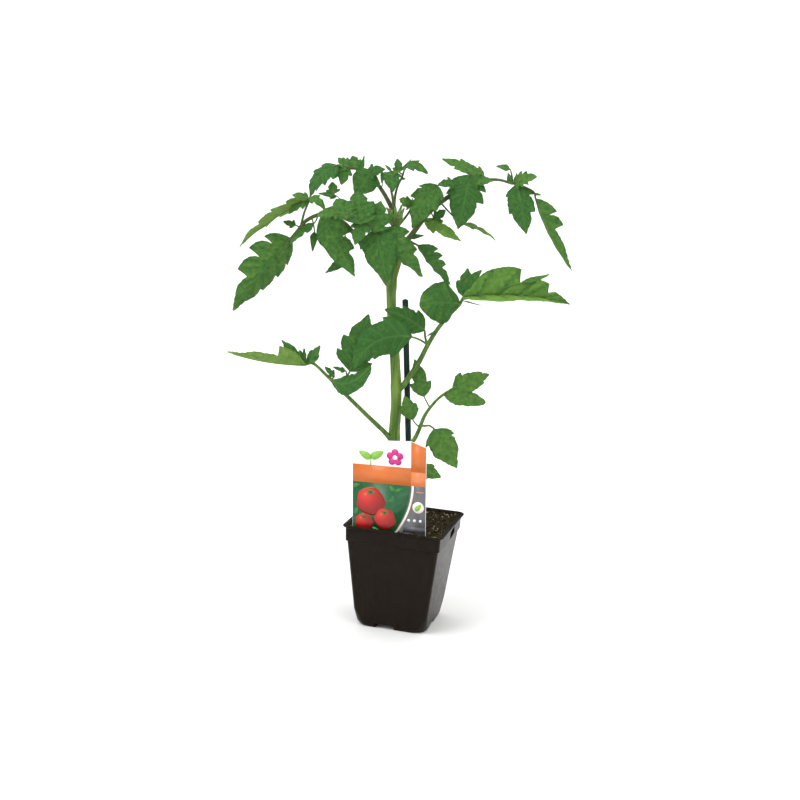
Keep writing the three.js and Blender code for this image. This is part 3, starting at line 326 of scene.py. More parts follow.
        leaflet([(88, 12, 457), (91, 11, 456)], (103, 3, 408), 28, (0, -0.98, 0.1), lobes=[0.2, 0.55],
            cut=[0.3, 0.1], arch=0.06, fold=-8),
        leaflet([(85, 13, 456)], (81, 12, 467), 6, (-0.3, -0.9, 0.2)),
        leaflet([(88, 13, 456)], (110, 7, 465), 18, (0, -0.85, 0.5), lobes=3, arch=0.2, tone=0.35),
        leaflet([(87, 13, 456), (85, 14, 465), (83, 15, 470)], (69, 16, 472), 7, arch=0.1, tone=0.3),
        leaflet([(88, 13, 455), (100, 10, 453), (108, 9, 449), (110, 8, 443)], (151, -2, 374), 29,
            (-0.62, -0.7, -0.16), lobes=[0.2, 0.39], cut=[0.55, 0], arch=0.05, fold=-44, tone=0.15,
            pale_edge=1),
        leaflet([(108, 9, 448)], (116, 8, 447), 3),
        dusk=0.75,
    ),
    "young_leaf_right": leaf(
        [(-29, 0, 422), (-29, -1, 437), (-27, -2, 448), (-23, -4, 458), (-21, -5, 466)],
        [1.5, 1.3, 1.1, 1, 0.8],
        leaflet([(-21, -6, 466), (-22, -7, 468)], (2, -12, 462), 15, (0.1, -0.8, 0.6), lobes=[0.16, 0.5],
            cut=0.4, arch=0.3),
        leaflet([(-23, -5, 460), (-26, -6, 462)], (-29, -4, 475), 11, (0, -0.97, 0.1), lobes=1),
        leaflet([(-24, -6, 456)], (-19, -8, 456), 3),
        tone=0.1, dusk=0.8,
    ),
    "young_leaf_left": leaf(
        [(-28, -2, 414), (-31, -7, 436), (-33, -9, 444), (-35, -10, 454), (-34, -10, 463)],
        [1.5, 1.3, 1.1, 1, 0.8],
        leaflet([(-34, -10, 463)], (-31, -16, 443), 17, (0, -0.95, 0.2), lobes=[0.3], cut=0.15, arch=0.1),
        leaflet([(-34, -10, 463)], (-41, -9, 469), 3, (0, -0.97, 0.1)),
        leaflet([(-34, -10, 459)], (-24, -13, 464), 6, (0, -0.7, 0.7), lobes=1, arch=0.1),
        leaflet([(-35, -10, 460), (-41, -8, 461)], (-43, -8, 450), 5, (0, -1, 0.1)),
        leaflet([(-37, -10, 461)], (-39, -10, 453), 4, (0, -1, 0.1)),
        tone=0.1, dusk=0.8,
    ),
    "young_leaf_back": leaf(
        [(-26, 1, 407), (-20, 6, 414), (-14, 9, 423), (-12, 9, 429)],
        [1.4, 1.2, 1.1, 0.9],
        leaflet([(-12, 9, 429)], (-25, 9, 435), 15, (0, -0.85, 0.5), lobes=2, arch=0.1),
        tone=0.4, dusk=0.6,
    ),
}

# Blades: the grid's spacing, the thickness, the powers of the two outlines, the reach and radii of
# their stalks, the teeth, and the relief, the waves and the tones of the sheet.
GRID_STEP = 0.8
SHEET_THICKNESS = 0.3
SMALL_BLADE = 20
POINTED = (0.62, 0.85)
BLUNT = (0.8, 0.55)
BLUNT_STEPS = (0.2, 0.45, 0.65, 0.8, 0.93)
LOBE_SHIFT = 0.02
STALK_REACH = (0.05, 0.12)
LEAFLET_STALKS = ((SMALL_BLADE, 1.1), (6, 0.75), (0, 0.5))
ON_MIDRIB = 1e-6
TOOTH_HEIGHT = 0.9
TOOTH_SPACING = 5
VEIN_WIDTH = 0.8
MIDRIB_WIDTH = 1.0
PUCKER_WIDTH = 2.4
PUCKER_LEAST = 0.35
PUCKER_SHARE = 0.024
SIDE_VEIN = 0.75
FINE_VEIN = 0.35
VEIN_SINK = 0.1
VEIN_RIB = 0.22
WAVE_SHARE = 0.03
WAVE_LENGTHS = (0.22, 0.34)
MARGIN_SHADE = 0.3
HOLLOW_SHADE = 0.18
PALE_EDGE = 0.75

# The stem: its sides, how much it swells where a leaf joins it, as a share of the leaf's stalk, and
# the colour of its tip, from a height upwards, and of the young shoots round it.
STEM_SIDES = 28
JOINT_SWELL = 0.22
JOINT_REACH = 6
SHOOT_TONE = 1.0
STEM_TIP = 396

# Hairs: their thickness, and how many stand on a millimetre of stalk and how long the longest is.
HAIR_THICKNESS = 0.07
STALK_HAIRS = (7, 1.5)
LEAFLET_HAIRS = (3, 1.1)
STEM_HAIRS = (16, 1.6)
TIP_HAIRS = (30, 2.6)
SHOOT_HAIRS = (9, 2.2)

# The material slots of the leaves' and the stem's meshes.
UPPER, UNDER, STALK, HAIR = range(4)


def linear(rgb):
    """An sRGB colour, 0 to 255, as the linear colour that shaders take."""
    parts = [c / 255 for c in rgb]
    return tuple(c / 12.92 if c <= 0.04045 else ((c + 0.055) / 1.055) ** 2.4 for c in parts) + (1,)


def unit(v):
    return v / np.maximum(np.linalg.norm(v, axis=-1, keepdims=True), 1e-9)


def planted(points):
    """Points of the plant's turned frame in the pot's frame."""
    p = np.asarray(points, float)
    c, s = math.cos(PLANT_TURN), math.sin(PLANT_TURN)
    return np.stack([c * p[..., 0] - s * p[..., 1], s * p[..., 0] + c * p[..., 1], p[..., 2]], -1)


def round_angles(count):
    return np.linspace(0, 2 * math.pi, count, endpoint=False)


def reach_along(path):
    """How far along a path each of its points is."""
    return np.concatenate([[0], np.cumsum(np.linalg.norm(np.diff(path, axis=0), axis=1))])


def at_reach(at, reach, rows):
    """The rows that belong to points of a path, read at other distances along it."""
    return np.stack([np.interp(at, reach, column) for column in rows.T], -1)


class Shell:
    """Points, faces and point values gathered for one mesh."""

    def __init__(self):
        self.points = []
        self.faces = []
        self.slots = []
        self.values = {"vein": [], "tone": [], "sheet": []}
        self.count = 0

    def add(self, points, face_sets, slot=0, vein=0.0, tone=0.0, sheet=None):
        """Adds a form. The faces of a set have equal corner counts, and each set may have its slot."""
        points = np.asarray(points, float).reshape(-1, 3)
        slots = slot if isinstance(slot, list) else [slot] * len(face_sets)
        for faces, number in zip(face_sets, slots):
            self.faces.append(np.asarray(faces) + self.count)
            self.slots.append(np.full(len(faces), number))
        self.points.append(points)
        self.values["vein"].append(np.broadcast_to(vein, len(points)))
        self.values["tone"].append(np.broadcast_to(tone, len(points)))
        self.values["sheet"].append(points if sheet is None else sheet)
        self.count += len(points)

    def build(self, name, materials, smooth_angle=None):
        mesh = bpy.data.meshes.new(name)
        faces = [corners for part in self.faces for corners in part.tolist()]
        mesh.from_pydata(np.concatenate(self.points) * MM, [], faces)
        mesh.shade_smooth()
        mesh.polygons.foreach_set("material_index", np.concatenate(self.slots))
        for key, parts in self.values.items():
            kind, field = ("FLOAT_VECTOR", "vector") if key == "sheet" else ("FLOAT", "value")
            layer = mesh.attributes.new(key, kind, "POINT")
            layer.data.foreach_set(field, np.concatenate(parts).astype(float).ravel())
        mesh.validate()
        if smooth_angle:
            mesh.set_sharp_from_angle(angle=math.radians(smooth_angle))
        for material in materials:
            mesh.materials.append(material)
        piece = bpy.data.objects.new(name, mesh)
        bpy.context.scene.collection.objects.link(piece)
        return piece


def carried(piece, slot, *nodes):
    """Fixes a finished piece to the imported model's one body."""
    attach(piece, "root")
    if nodes:
        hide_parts(*nodes)


# Curves and tubes.

def centripetal(points, per_span=6):
    """Points along a centripetal Catmull-Rom curve, the curve that the source's stalks follow."""
    p = np.asarray(points, float)
    p = np.vstack([2 * p[0] - p[1], p, 2 * p[-1] - p[-2]])
    s = np.linspace(0, 1, per_span, endpoint=False)[:, None]
    rows = []
    for p0, p1, p2, p3 in zip(p, p[1:], p[2:], p[3:]):
        d0, d1, d2 = (max(np.linalg.norm(b - a) ** 0.5, 1e-4) for a, b in ((p0, p1), (p1, p2), (p2, p3)))
        t1 = ((p1 - p0) / d0 - (p2 - p0) / (d0 + d1) + (p2 - p1) / d1) * d1
        t2 = ((p2 - p1) / d1 - (p3 - p1) / (d1 + d2) + (p3 - p2) / d2) * d1
        rows.append(p1 + t1 * s + (3 * (p2 - p1) - 2 * t1 - t2) * s**2 + (2 * (p1 - p2) + t1 + t2) * s**3)
    return np.vstack(rows + [p[-2:-1]])


def radii_along(radii, count):
    return np.interp(np.linspace(0, 1, count), np.linspace(0, 1, len(radii)), radii)


def frames_along(path):
    """The direction of a path at each point, and two axes across it that don't twist."""
    along = unit(np.gradient(path, axis=0))
    normals = []
    normal = np.array([0.31, -0.9, 0.3])
    for direction in along:
        normal = unit(normal - normal.dot(direction) * direction)
        normals.append(normal)
    normals = np.array(normals)
    return along, normals, np.cross(along, normals)


def ring_walls(rows, count):
    """The four-sided faces between closed rings that follow each other."""
    number = np.arange(rows * count).reshape(rows, count)
    after = np.roll(number, -1, axis=1)
    return np.stack([number[:-1], after[:-1], after[1:], number[1:]], -1).reshape(-1, 4)


def add_loft(shell, rings, slot=0, tone=0.0, middles=None):
    """Rings of equal count, closed at both ends by a fan round a middle point."""
    rows, count = len(rings), len(rings[0])
    low, high = rows * count, rows * count + 1
    j = np.arange(count)
    n = (j + 1) % count
    last = low - count
    fans = np.vstack([np.stack([np.full(count, low), n, j], -1),
        np.stack([np.full(count, high), j + last, n + last], -1)])
    middles = middles or [rings[0].mean(0), rings[-1].mean(0)]
    shell.add(np.vstack([*rings, middles]), [ring_walls(rows, count), fans], slot, tone=tone)


def flat_ring(outline, z):
    return np.column_stack([outline, np.full(len(outline), z)])


def prism(outline, low, high):
    """The points and the faces of a closed plate over an outline."""
    j = np.arange(len(outline))
    points = np.vstack([flat_ring(outline, z) for z in (low, high)])
    return points, [ring_walls(2, len(outline)), [j[::-1], j + len(outline)]]


def add_tube(shell, path, radii, sides, slot, tone=0.0, ridges=0.0):
    """A closed tapering tube whose cross-section may be a little ridged."""
    along, normals, across = frames_along(path)
    angle = round_angles(sides)
    swell = 1 + ridges * np.cos(5 * angle)
    u, v = np.cos(angle) * swell, np.sin(angle) * swell
    spread = normals[:, None] * u[:, None] + across[:, None] * v[:, None]
    rings = path[:, None] + spread * np.asarray(radii)[:, None, None]
    tips = [path[0] - along[0] * radii[0] / 2, path[-1] + along[-1] * radii[-1] / 2]
    add_loft(shell, rings, slot, tone, tips)


def add_hairs(shell, path, radii, rng, per_mm, longest):
    """Fine upright hairs, each a closed three-sided spike with its root in the stalk."""
    reach = reach_along(path)
    count = int(reach[-1] * per_mm)
    at = rng.uniform(0, reach[-1], count)
    along, normals, across = (at_reach(at, reach, rows) for rows in frames_along(path))
    angle = rng.uniform(0, 2 * math.pi, count)[:, None]
    out = unit(normals * np.cos(angle) + across * np.sin(angle))
    forward = unit(along)
    side = np.cross(out, forward)
    radius = np.interp(at, reach, radii)[:, None]
    length = rng.uniform(0.5, 1, count)[:, None] * longest
    lean = rng.normal(0, 0.25, (count, 2))
    root = at_reach(at, reach, path) + out * radius * 0.9
    near = forward * HAIR_THICKNESS
    beside = side * HAIR_THICKNESS
    tip = root + length * unit(out + forward * lean[:, :1] + side * lean[:, 1:])
    points = np.stack([root + near, root + beside - near / 2, root - beside - near / 2, tip], 1)
    spike = np.array([[0, 1, 3], [1, 2, 3], [2, 0, 3], [0, 2, 1]])
    faces = (np.arange(count)[:, None, None] * 4 + spike).reshape(-1, 3)
    shell.add(points, [faces], HAIR)


# Blades.

def half_share(x, blunt=0):
    """A blade's half width at a share of its length, as a share of its widest."""
    power, fullness = BLUNT if blunt else POINTED
    return math.sin(math.pi * min(1, max(0, x)) ** power) ** fullness


def lobe_tips(lobes):
    """Where the lobes' tips lie, as shares of the length, given in a list or else as a count."""
    if isinstance(lobes, list):
        return lobes
    return [0.36] if lobes == 1 else [0.2 + 0.42 * i / (lobes - 1) for i in range(lobes)]


def side_cut(facts, side):
    """How deep one side is cut."""
    return facts["cut"][0 if side > 0 else 1] if isinstance(facts["cut"], list) else facts["cut"]


def margin_arcs(facts, side):
    """The margin of one side as arcs, each from a corner over a bulge to the next corner, and the
    side's veins. A point is its foot on the midrib, its reach along the midrib, and its share of the
    half width. A vein is its foot and its end, along and across."""
    def envelope(x):
        return half_share(x, facts["blunt"])

    cut = side_cut(facts, side)
    swell = 1.08 if cut else 1
    sag = 0.03 if cut else 0
    corner = np.array([0, 0, 0.07])
    apex = np.array([1, 1, 0.01])
    arcs = []
    veins = []
    back = 0.04
    for i, share in enumerate(lobe_tips(facts["lobes"])):
        tip = share + side * LOBE_SHIFT
        notch = tip + 0.03
        middle = (back + tip) / 2
        bulge = np.array([back + 0.3 * (tip - back) - 0.03, middle - 0.02, envelope(middle) * 0.93])
        point = np.array([tip - 0.13, tip + 0.03, envelope(tip) * swell])
        dip = np.array([notch - 0.05, notch, envelope(notch) * (1 - cut)])
        if i > 0 and facts["width"] <= SMALL_BLADE:
            bulge = (corner + point) / 2
        arcs.append(("back", corner, bulge, point))
        arcs.append(("front", point, (point + dip) / 2 + np.array([0, -0.004, -sag]), dip))
        veins.append((tip - 0.15, 0, point[1], point[2] * 0.96))
        if tip - back > 0.16:
            veins.append((max(0.01, middle - 0.12), 0, bulge[1] + 0.03, bulge[2] * 0.9))
        corner = dip
        back = notch
    if facts["blunt"]:
        stops = [back + (1 - back) * share for share in BLUNT_STEPS]
        points = [np.array([stop - 0.05, stop, envelope(stop)]) for stop in stops]
        ends = [corner, points[1], points[3], apex]
        arcs += [("back", a, b, c) for a, b, c in zip(ends, points[::2], ends[1:])]
        veins += [(stop - 0.18, 0, stop, envelope(stop) * 0.9) for stop in stops[:-1]]
        return arcs, veins
    if not arcs:
        arcs.append(("back", corner, np.array([0.16, 0.2, envelope(0.2)]), np.array([0.36, 0.42, 0.98])))
        corner = arcs[0][3]
        back = 0.42
    end = back + 0.4 * (1 - back)
    rise = min(envelope(end), corner[2] * 1.15)
    shoulder = np.array([end - 0.05, end, rise])
    lance = np.array([end + 0.55 * (1 - end) - 0.03, end + 0.58 * (1 - end), rise * 0.44])
    arcs.append(("back", corner, (corner + shoulder) / 2 + np.array([0, 0, 0.03]), shoulder))
    arcs.append(("end", shoulder, lance, apex))
    for share in (0.05, 0.38, 0.68):
        foot = back + (1 - back) * share * 0.85 - 0.05
        veins.append((foot, 0, foot + 0.17 * (1 - share * 0.4), rise * (0.95 - share * 0.8)))
    return arcs, veins


def arc_spans(arcs, length, half_width):
    return [math.hypot((c[1] - a[1]) * length, (c[2] - a[2]) * half_width) for _, a, _, c in arcs]


def sampled_margin(facts, length, side, counts, rng):
    """Foot, reach and half width along one side, with small teeth on the backs of the lobes."""
    arcs, veins = margin_arcs(facts, side)
    half_width = facts["width"] / 2
    rows = []
    for (kind, a, b, c), count, chord in zip(arcs, counts, arc_spans(arcs, length, half_width)):
        s = np.linspace(0, 1, count, endpoint=False)[:, None]
        arc = (1 - s) ** 2 * a + 2 * s * (1 - s) * (2 * b - (a + c) / 2) + s**2 * c
        teeth = int(chord / TOOTH_SPACING)
        if kind != "front" and side_cut(facts, side) and teeth:
            phase = (s[:, 0] * teeth) % 1
            saw = np.where(phase < 0.8, (phase / 0.8) ** 0.8, (1 - phase) / 0.2)
            height = min(TOOTH_HEIGHT, chord / teeth * 0.16) * rng.uniform(0.7, 1.1)
            arc[:, 2] += (saw - 0.35) * np.sin(math.pi * s[:, 0]) ** 0.5 * height / half_width
        rows.append(arc)
    rows.append(arcs[-1][3][None])
    return np.vstack(rows), veins


def blade_place(facts):
    """A function that puts a point of the flat blade in space, given its share of the length and its
    signed distance from the midrib. It also gives the way out of the sheet there."""
    base = planted(facts["stalk"][-1])
    tip = planted(facts["tip"])
    chord = tip - base
    length = np.linalg.norm(chord)
    along = chord / length
    up = planted(facts["face"])
    up = unit(up - up.dot(along) * along)
    across = np.cross(up, along)
    control = base + chord / 2 + up * 2 * facts["arch"] * length + across * 2 * facts["bend"] * length

    def place(share, distance):
        t = np.clip(share, 0, 1)[..., None]
        centre = (1 - t) ** 2 * base + 2 * t * (1 - t) * control + t**2 * tip
        tangent = unit((1 - t) * (control - base) + t * (tip - control))
        normal = unit(up - (tangent @ up)[..., None] * tangent)
        outward = np.cross(normal, tangent) * np.sign(distance)[..., None]
        away = np.abs(distance)[..., None]
        angle = np.radians(facts["fold"] - facts["curl"] * away / facts["width"])
        point = centre + outward * away * np.cos(angle) + normal * away * np.sin(angle)
        lift = unit(normal * np.cos(angle) - outward * np.sin(angle) * np.minimum(1, away / 1.5))
        return point, lift

    return place, length


def vein_mask(x, y, veins, width):
    """How near each point is to the nearest vein, 1 on it, and that distance."""
    nearest = np.full(x.shape, 1e3)
    for ax, ay, bx, by in veins:
        dx, dy = bx - ax, by - ay
        t = np.clip(((x - ax) * dx + (y - ay) * dy) / (dx * dx + dy * dy + 1e-9), 0, 1)
        nearest = np.minimum(nearest, np.hypot(x - ax - t * dx, y - ay - t * dy))
    return np.exp(-((nearest / width) ** 2)), nearest


def branched(veins, length, half_width):
    """Side veins in millimetres, and two pairs of finer branches on each."""
    scaled = [(ax * length, ay * half_width, bx * length, by * half_width) for ax, ay, bx, by in veins]
    fine = []
    for ax, ay, bx, by in scaled:
        dx, dy = bx - ax, by - ay
        for at in (0.4, 0.68):
            x, y = ax + at * dx, ay + at * dy
            reach = 0.32 * (1 - at * 0.5)
            for turn in (0.75, -0.75):
                c, s = math.cos(turn), math.sin(turn)
                fine.append((x, y, x + (c * dx - s * dy) * reach, y + (s * dx + c * dy) * reach))
    return scaled, fine


def sheet_faces(shape):
    """The faces of a thin closed sheet over a grid: its upper side, its under side and its rim."""
    number = np.arange(shape[0] * shape[1]).reshape(shape)
    upper = np.stack([number[:-1, :-1], number[1:, :-1], number[1:, 1:], number[:-1, 1:]], -1).reshape(-1, 4)
    a, b = np.hstack([
        (number[:-1, 0], number[1:, 0]),
        (number[-1, :-1], number[-1, 1:]),
        (number[1:, -1], number[:-1, -1]),
        (number[0, 1:], number[0, :-1]),
    ])
    under = number.size
    return [upper, upper[:, ::-1] + under, np.stack([b, a, a + under, b + under], -1)]


def add_blade(shell, facts, rng, tone):
    """A thin closed blade with a lobed and toothed margin, raised between its sunken veins above and
    ribbed by them below."""
    place, length = blade_place(facts)
    width = facts["width"]
    half_width = width / 2
    spans = arc_spans(margin_arcs(facts, 1)[0], length, half_width)
    counts = [max(3, round(span / GRID_STEP)) for span in spans]
    right, right_veins = sampled_margin(facts, length, 1, counts, rng)
    left, left_veins = sampled_margin(facts, length, -1, counts, rng)
    rows = max(3, round(half_width / GRID_STEP))
    steps = np.arange(-rows, rows + 1)
    share = np.abs(steps)[None] / rows
    positive = steps >= 0
    foot = (right[:, :1] + left[:, :1]) / 2
    x = (foot + (np.where(positive, right[:, 1:2], left[:, 1:2]) - foot) * share) * length
    y = np.where(positive, right[:, 2:], left[:, 2:]) * half_width * share
    signed = np.where(positive, y, -y)
    signed[:, rows] = ON_MIDRIB

    lateral = np.zeros(x.shape)
    fine = np.zeros(x.shape)
    distance = np.zeros(x.shape)
    for veins, side in ((right_veins, positive), (left_veins, ~positive)):
        scaled, twigs = branched(veins, length, half_width)
        lateral[:, side], distance[:, side] = vein_mask(x[:, side], y[:, side], scaled, VEIN_WIDTH)
        fine[:, side] = vein_mask(x[:, side], y[:, side], twigs, VEIN_WIDTH * 0.8)[0]
    midrib = np.exp(-((y / MIDRIB_WIDTH) ** 2))
    vein = np.clip(np.maximum(midrib, np.maximum(lateral * SIDE_VEIN, fine * FINE_VEIN)), 0, 1)
    hollow = 1 - np.exp(-((np.minimum(distance, y * 1.2) / PUCKER_WIDTH) ** 2))
    pucker = (PUCKER_LEAST + PUCKER_SHARE * width) * hollow
    edge = share**2
    waves = rng.uniform(0.6, 1.3) * WAVE_SHARE * width
    wavelength = rng.uniform(*WAVE_LENGTHS) * length
    phase = np.where(positive, *rng.uniform(0, 6, 2))
    ripple = waves * edge * np.sin(2 * math.pi * x / wavelength + phase)
    smooth = np.where(positive, *(side_cut(facts, side) == 0 for side in (1, -1)))
    ripple = np.where(smooth, 0.3 * ripple, ripple)
    lift = pucker * (1 - edge * 0.7) + ripple

    centre, normal = place(x / length, signed)
    half = SHEET_THICKNESS / 2
    top = centre + normal * (lift + half - VEIN_SINK * vein)[..., None]
    under = centre + normal * (lift - half - VEIN_RIB * vein)[..., None]
    offset = rng.uniform(0, 500, 2)
    sheet = np.stack([x + offset[0], signed + offset[1], np.zeros(x.shape)], -1).reshape(-1, 3)
    dark_margin = MARGIN_SHADE * np.clip((share - 0.75) / 0.25, 0, 1) ** 2
    pale = tone + rng.normal(0, 0.06) + 0.12 * (x / length - 0.5) - dark_margin
    # Painted light and shade: the raised cushions between the veins are painted paler and the hollows along
    # the veins are painted darker.
    pale = pale + HOLLOW_SHADE * (pucker - 0.5)
    if facts["pale_edge"]:
        pale = pale + smooth * (dark_margin + PALE_EDGE * np.clip(share * 2 - 0.6, 0, 1))
    shell.add(np.stack([top, under]), sheet_faces(x.shape), [UPPER, UNDER, UPPER],
        vein=np.tile(vein.ravel(), 2), tone=np.tile(pale.ravel(), 2), sheet=np.tile(sheet, (2, 1)))

    t = np.linspace(0, 0.93, 16)
    centre, normal = place(t, np.full(t.shape, ON_MIDRIB))
    thick = 0.25 + 0.011 * width
    add_tube(shell, centre - normal * thick * 0.75, thick * (1 - t) ** 0.6 + 0.06, 6, STALK, tone)


def add_leaflets(shell, leaflets, lines, rng, tone, stalk_tone):
    """The blades of one leaf and their small stalks, each grown out of what it starts from."""
    for facts in leaflets:
        points = planted(facts["stalk"])
        start = lines[np.linalg.norm(lines - points[0], axis=1).argmin()]
        place, _ = blade_place(facts)
        inside, _ = place(np.array(STALK_REACH), np.full(2, ON_MIDRIB))
        between = [p for p in points if np.linalg.norm(p - start) > 1]
        path = centripetal([start, *between, *inside])
        lines = np.vstack([lines, path])
        radius = next(thick for least, thick in LEAFLET_STALKS if facts["width"] > least)
        radii = radii_along([radius + 0.25, radius, radius * 0.85, 0.4], len(path))
        add_tube(shell, path, radii, 10, STALK, stalk_tone)
        add_hairs(shell, path, radii, rng, *LEAFLET_HAIRS)
        add_blade(shell, facts, rng, tone + facts["tone"])


def make_leaf(name, facts, index, materials):
    rng = np.random.default_rng(SEED + index)
    shell = Shell()
    path = centripetal(planted(facts["route"]))
    radii = radii_along(facts["radii"], len(path))
    stalk_tone = -facts["dusk"]
    add_tube(shell, path, radii, 14, STALK, stalk_tone, ridges=0.05)
    add_hairs(shell, path[4:], radii[4:], rng, *STALK_HAIRS)
    add_leaflets(shell, facts["leaflets"], path, rng, facts["tone"], stalk_tone)
    slot = "young_leaf_green" if name.startswith("young") else "leaf_green"
    carried(shell.build("foliage_of_" + name, materials), slot, name)


def make_stem(materials):
    rng = np.random.default_rng(SEED)
    shell = Shell()
    path = centripetal(planted(STEM_ROUTE))
    radii = radii_along(STEM_RADII, len(path))
    height = path[:, 2]
    radii = radii * (1 + 0.03 * np.sin(height / 9.0) * np.sin(height / 23.0 + 1))
    for facts in LEAVES.values():
        joint = facts["route"][0][2] + 3
        radii += JOINT_SWELL * facts["radii"][0] * np.exp(-(((height - joint) / JOINT_REACH) ** 2))
    fresh = np.clip((height - STEM_TIP) / 10, 0, 1)
    tone = fresh * SHOOT_TONE - (1 - fresh) * np.clip((height - 280) / 400, 0, 0.22)
    tones = np.concatenate([np.repeat(tone, STEM_SIDES), tone[[0, -1]]])
    add_tube(shell, path, radii, STEM_SIDES, STALK, tones, ridges=0.035)
    above = height > SOIL_TOP - 4
    add_hairs(shell, path[above], radii[above], rng, *STEM_HAIRS)
    add_leaflets(shell, SHOOTS, path, rng, SHOOT_TONE, SHOOT_TONE)
    tip = height > STEM_TIP
    add_hairs(shell, path[tip], radii[tip], rng, *TIP_HAIRS)
    for shoot in SHOOTS:
        line = planted(np.linspace(shoot["stalk"][-1], shoot["tip"], 8))
        add_hairs(shell, line, np.full(8, 1.2), rng, *SHOOT_HAIRS)
    carried(shell.build("hairy_stem", materials), "stem_green", "stem")


# The pot.

def quarter(cx, cy, radius, start, steps=8):
    """A quarter circle of outline points, from a start in quarter turns."""
    angle = (start + np.linspace(0, 1, steps + 1)) * math.pi / 2
    return [(cx + radius * math.cos(a), cy + radius * math.sin(a)) for a in angle]


def rounded_square(half, radius, z, steps=CORNER_STEPS):
    """A square ring with round corners at one height."""
    middle = half - radius
    corners = ((middle, middle), (-middle, middle), (-middle, -middle), (middle, -middle))
    return flat_ring(np.vstack([quarter(*at, radius, i, steps) for i, at in enumerate(corners)]), z)


def pot_rings():
    """The pot's shell as rings: up its outside from the foot, and down its inside to the floor."""
    lip, collar = LIP_WIDTH / 2, COLLAR_WIDTH / 2
    body_top, base = BODY_TOP_WIDTH / 2, BASE_WIDTH / 2
    step = POT_HEIGHT - COLLAR_HEIGHT
    top, bottom = CORNER_RADIUS_TOP, CORNER_RADIUS_BASE

    def wall_at(z, inward=0):
        corner = bottom + (top - bottom) * min(1, z / CORNER_RISE)
        return (base + (body_top - base) * z / step - inward, corner - inward, z)

    outside = [
        (base - 5 * EDGE, bottom - 2 * EDGE, 0),
        (base - 3.4 * EDGE, bottom - EDGE, 0.3 * EDGE),
        (base - 2 * EDGE, bottom, EDGE),
        (base - 0.4 * EDGE, bottom, 4 * EDGE),
        *(wall_at(z) for z in np.linspace(FOOT_ROUNDING, CORNER_RISE, 8)),
        (body_top, top, step - EDGE),
        (body_top + 0.3 * EDGE, top, step),
        (collar, top, step + 2 * EDGE),
        (collar + EDGE, top, POT_HEIGHT - LIP_THICKNESS),
        (lip - EDGE, LIP_CORNER, POT_HEIGHT - LIP_THICKNESS + EDGE),
        (lip, LIP_CORNER, POT_HEIGHT - LIP_THICKNESS + 2 * EDGE),
        (lip, LIP_CORNER, POT_HEIGHT - EDGE),
        (lip - EDGE, LIP_CORNER, POT_HEIGHT),
    ]
    inside = [
        (lip - WALL, LIP_CORNER - WALL, POT_HEIGHT),
        (lip - WALL - EDGE, LIP_CORNER - WALL - EDGE, POT_HEIGHT - 2 * EDGE),
        (collar + EDGE - WALL, top - WALL, POT_HEIGHT - 2 * EDGE),
        (collar - WALL, top - WALL, POT_HEIGHT - 4 * EDGE),
        (collar - WALL - EDGE, top - WALL, step + WALL),
        (body_top - WALL, top - WALL, step),
        wall_at(CORNER_RISE, WALL),
        wall_at(FLOOR, WALL),
    ]
    return [rounded_square(*ring) for ring in outside + inside]


def cutter(outline, height, place, turn):
    """A prism to cut with, moved to its place and then turned round the pot's middle."""
    shell = Shell()
    points, faces = prism(outline, -height / 2, height / 2)
    shell.add((points + place) @ np.array(turn).T, faces)
    return shell.build("cutter", [])


def middle_bar(width, depth):
    return bar(-width / 2, -depth / 2, width / 2, depth / 2)


def cut_by(piece, cutters):
    """The piece with each cutter taken out of it, and the cutters gone."""
    for tool in cutters:
        boolean = piece.modifiers.new("cut", "BOOLEAN")
        boolean.operation = "DIFFERENCE"
        boolean.solver = "EXACT"
        boolean.object = tool
    evaluated = piece.evaluated_get(bpy.context.evaluated_depsgraph_get())
    mesh = bpy.data.meshes.new_from_object(evaluated)
    piece.modifiers.clear()
    piece.data = mesh
    for tool in cutters:
        bpy.data.objects.remove(tool)
    mesh.set_sharp_from_angle(angle=math.radians(32))
    return piece


def make_pot(material):
    shell = Shell()
    add_loft(shell, pot_rings())
    pot = shell.build("plastic_pot", [material])
    base = BASE_WIDTH / 2
    recess = middle_bar(DRAIN_WIDTH, 2 * DRAIN_DEPTH)
    hole = disc(0, 0, DRAIN_HOLE / 2, 24)
    hole_place = (DRAIN_SHIFT, base - DRAIN_DEPTH + DRAIN_HOLE / 2 + EDGE, FLOOR)
    cutters = []
    for i in range(4):
        turn = Matrix.Rotation(i * math.pi / 2, 3, "Z")
        cutters.append(cutter(recess, 2 * DRAIN_HEIGHT, (DRAIN_SHIFT, base, 0), turn))
        cutters.append(cutter(hole, 3 * FLOOR, hole_place, turn))
    slant = Matrix.Rotation(math.radians(SLOT["slant"]), 3, "X")
    slot = cutter(middle_bar(SLOT["width"], SLOT["width"]), SLOT["height"], (0, 0, 0), slant)
    slot.data.transform(Matrix.Translation(Vector((COLLAR_WIDTH / 2, SLOT["y"], SLOT["z"])) * MM))
    carried(cut_by(pot, cutters + [slot]), "pot_plastic", "pot")


# The soil.

def even_square(half, radius, z=0):
    """A ring of evenly spaced points round a square with round corners."""
    ring = rounded_square(half, radius, z, 8)
    loop = np.vstack([ring, ring[:1]])
    reach = reach_along(loop)
    return at_reach(np.linspace(0, reach[-1], SOIL_RING_POINTS, endpoint=False), reach, loop)


def soil_height(x, y):
    """The crumbly surface's height at a point."""
    lumps = noise.fractal(Vector((x / 7, y / 7, 3.1)), 0.9, 2.1, 4)
    grit = noise.noise(Vector((x / 1.3, y / 1.3, 8.2)))
    share = max(abs(x), abs(y)) / (COLLAR_WIDTH / 2)
    return SOIL_TOP - SOIL_CROWN * share + SOIL_RELIEF * lumps + 0.4 * grit


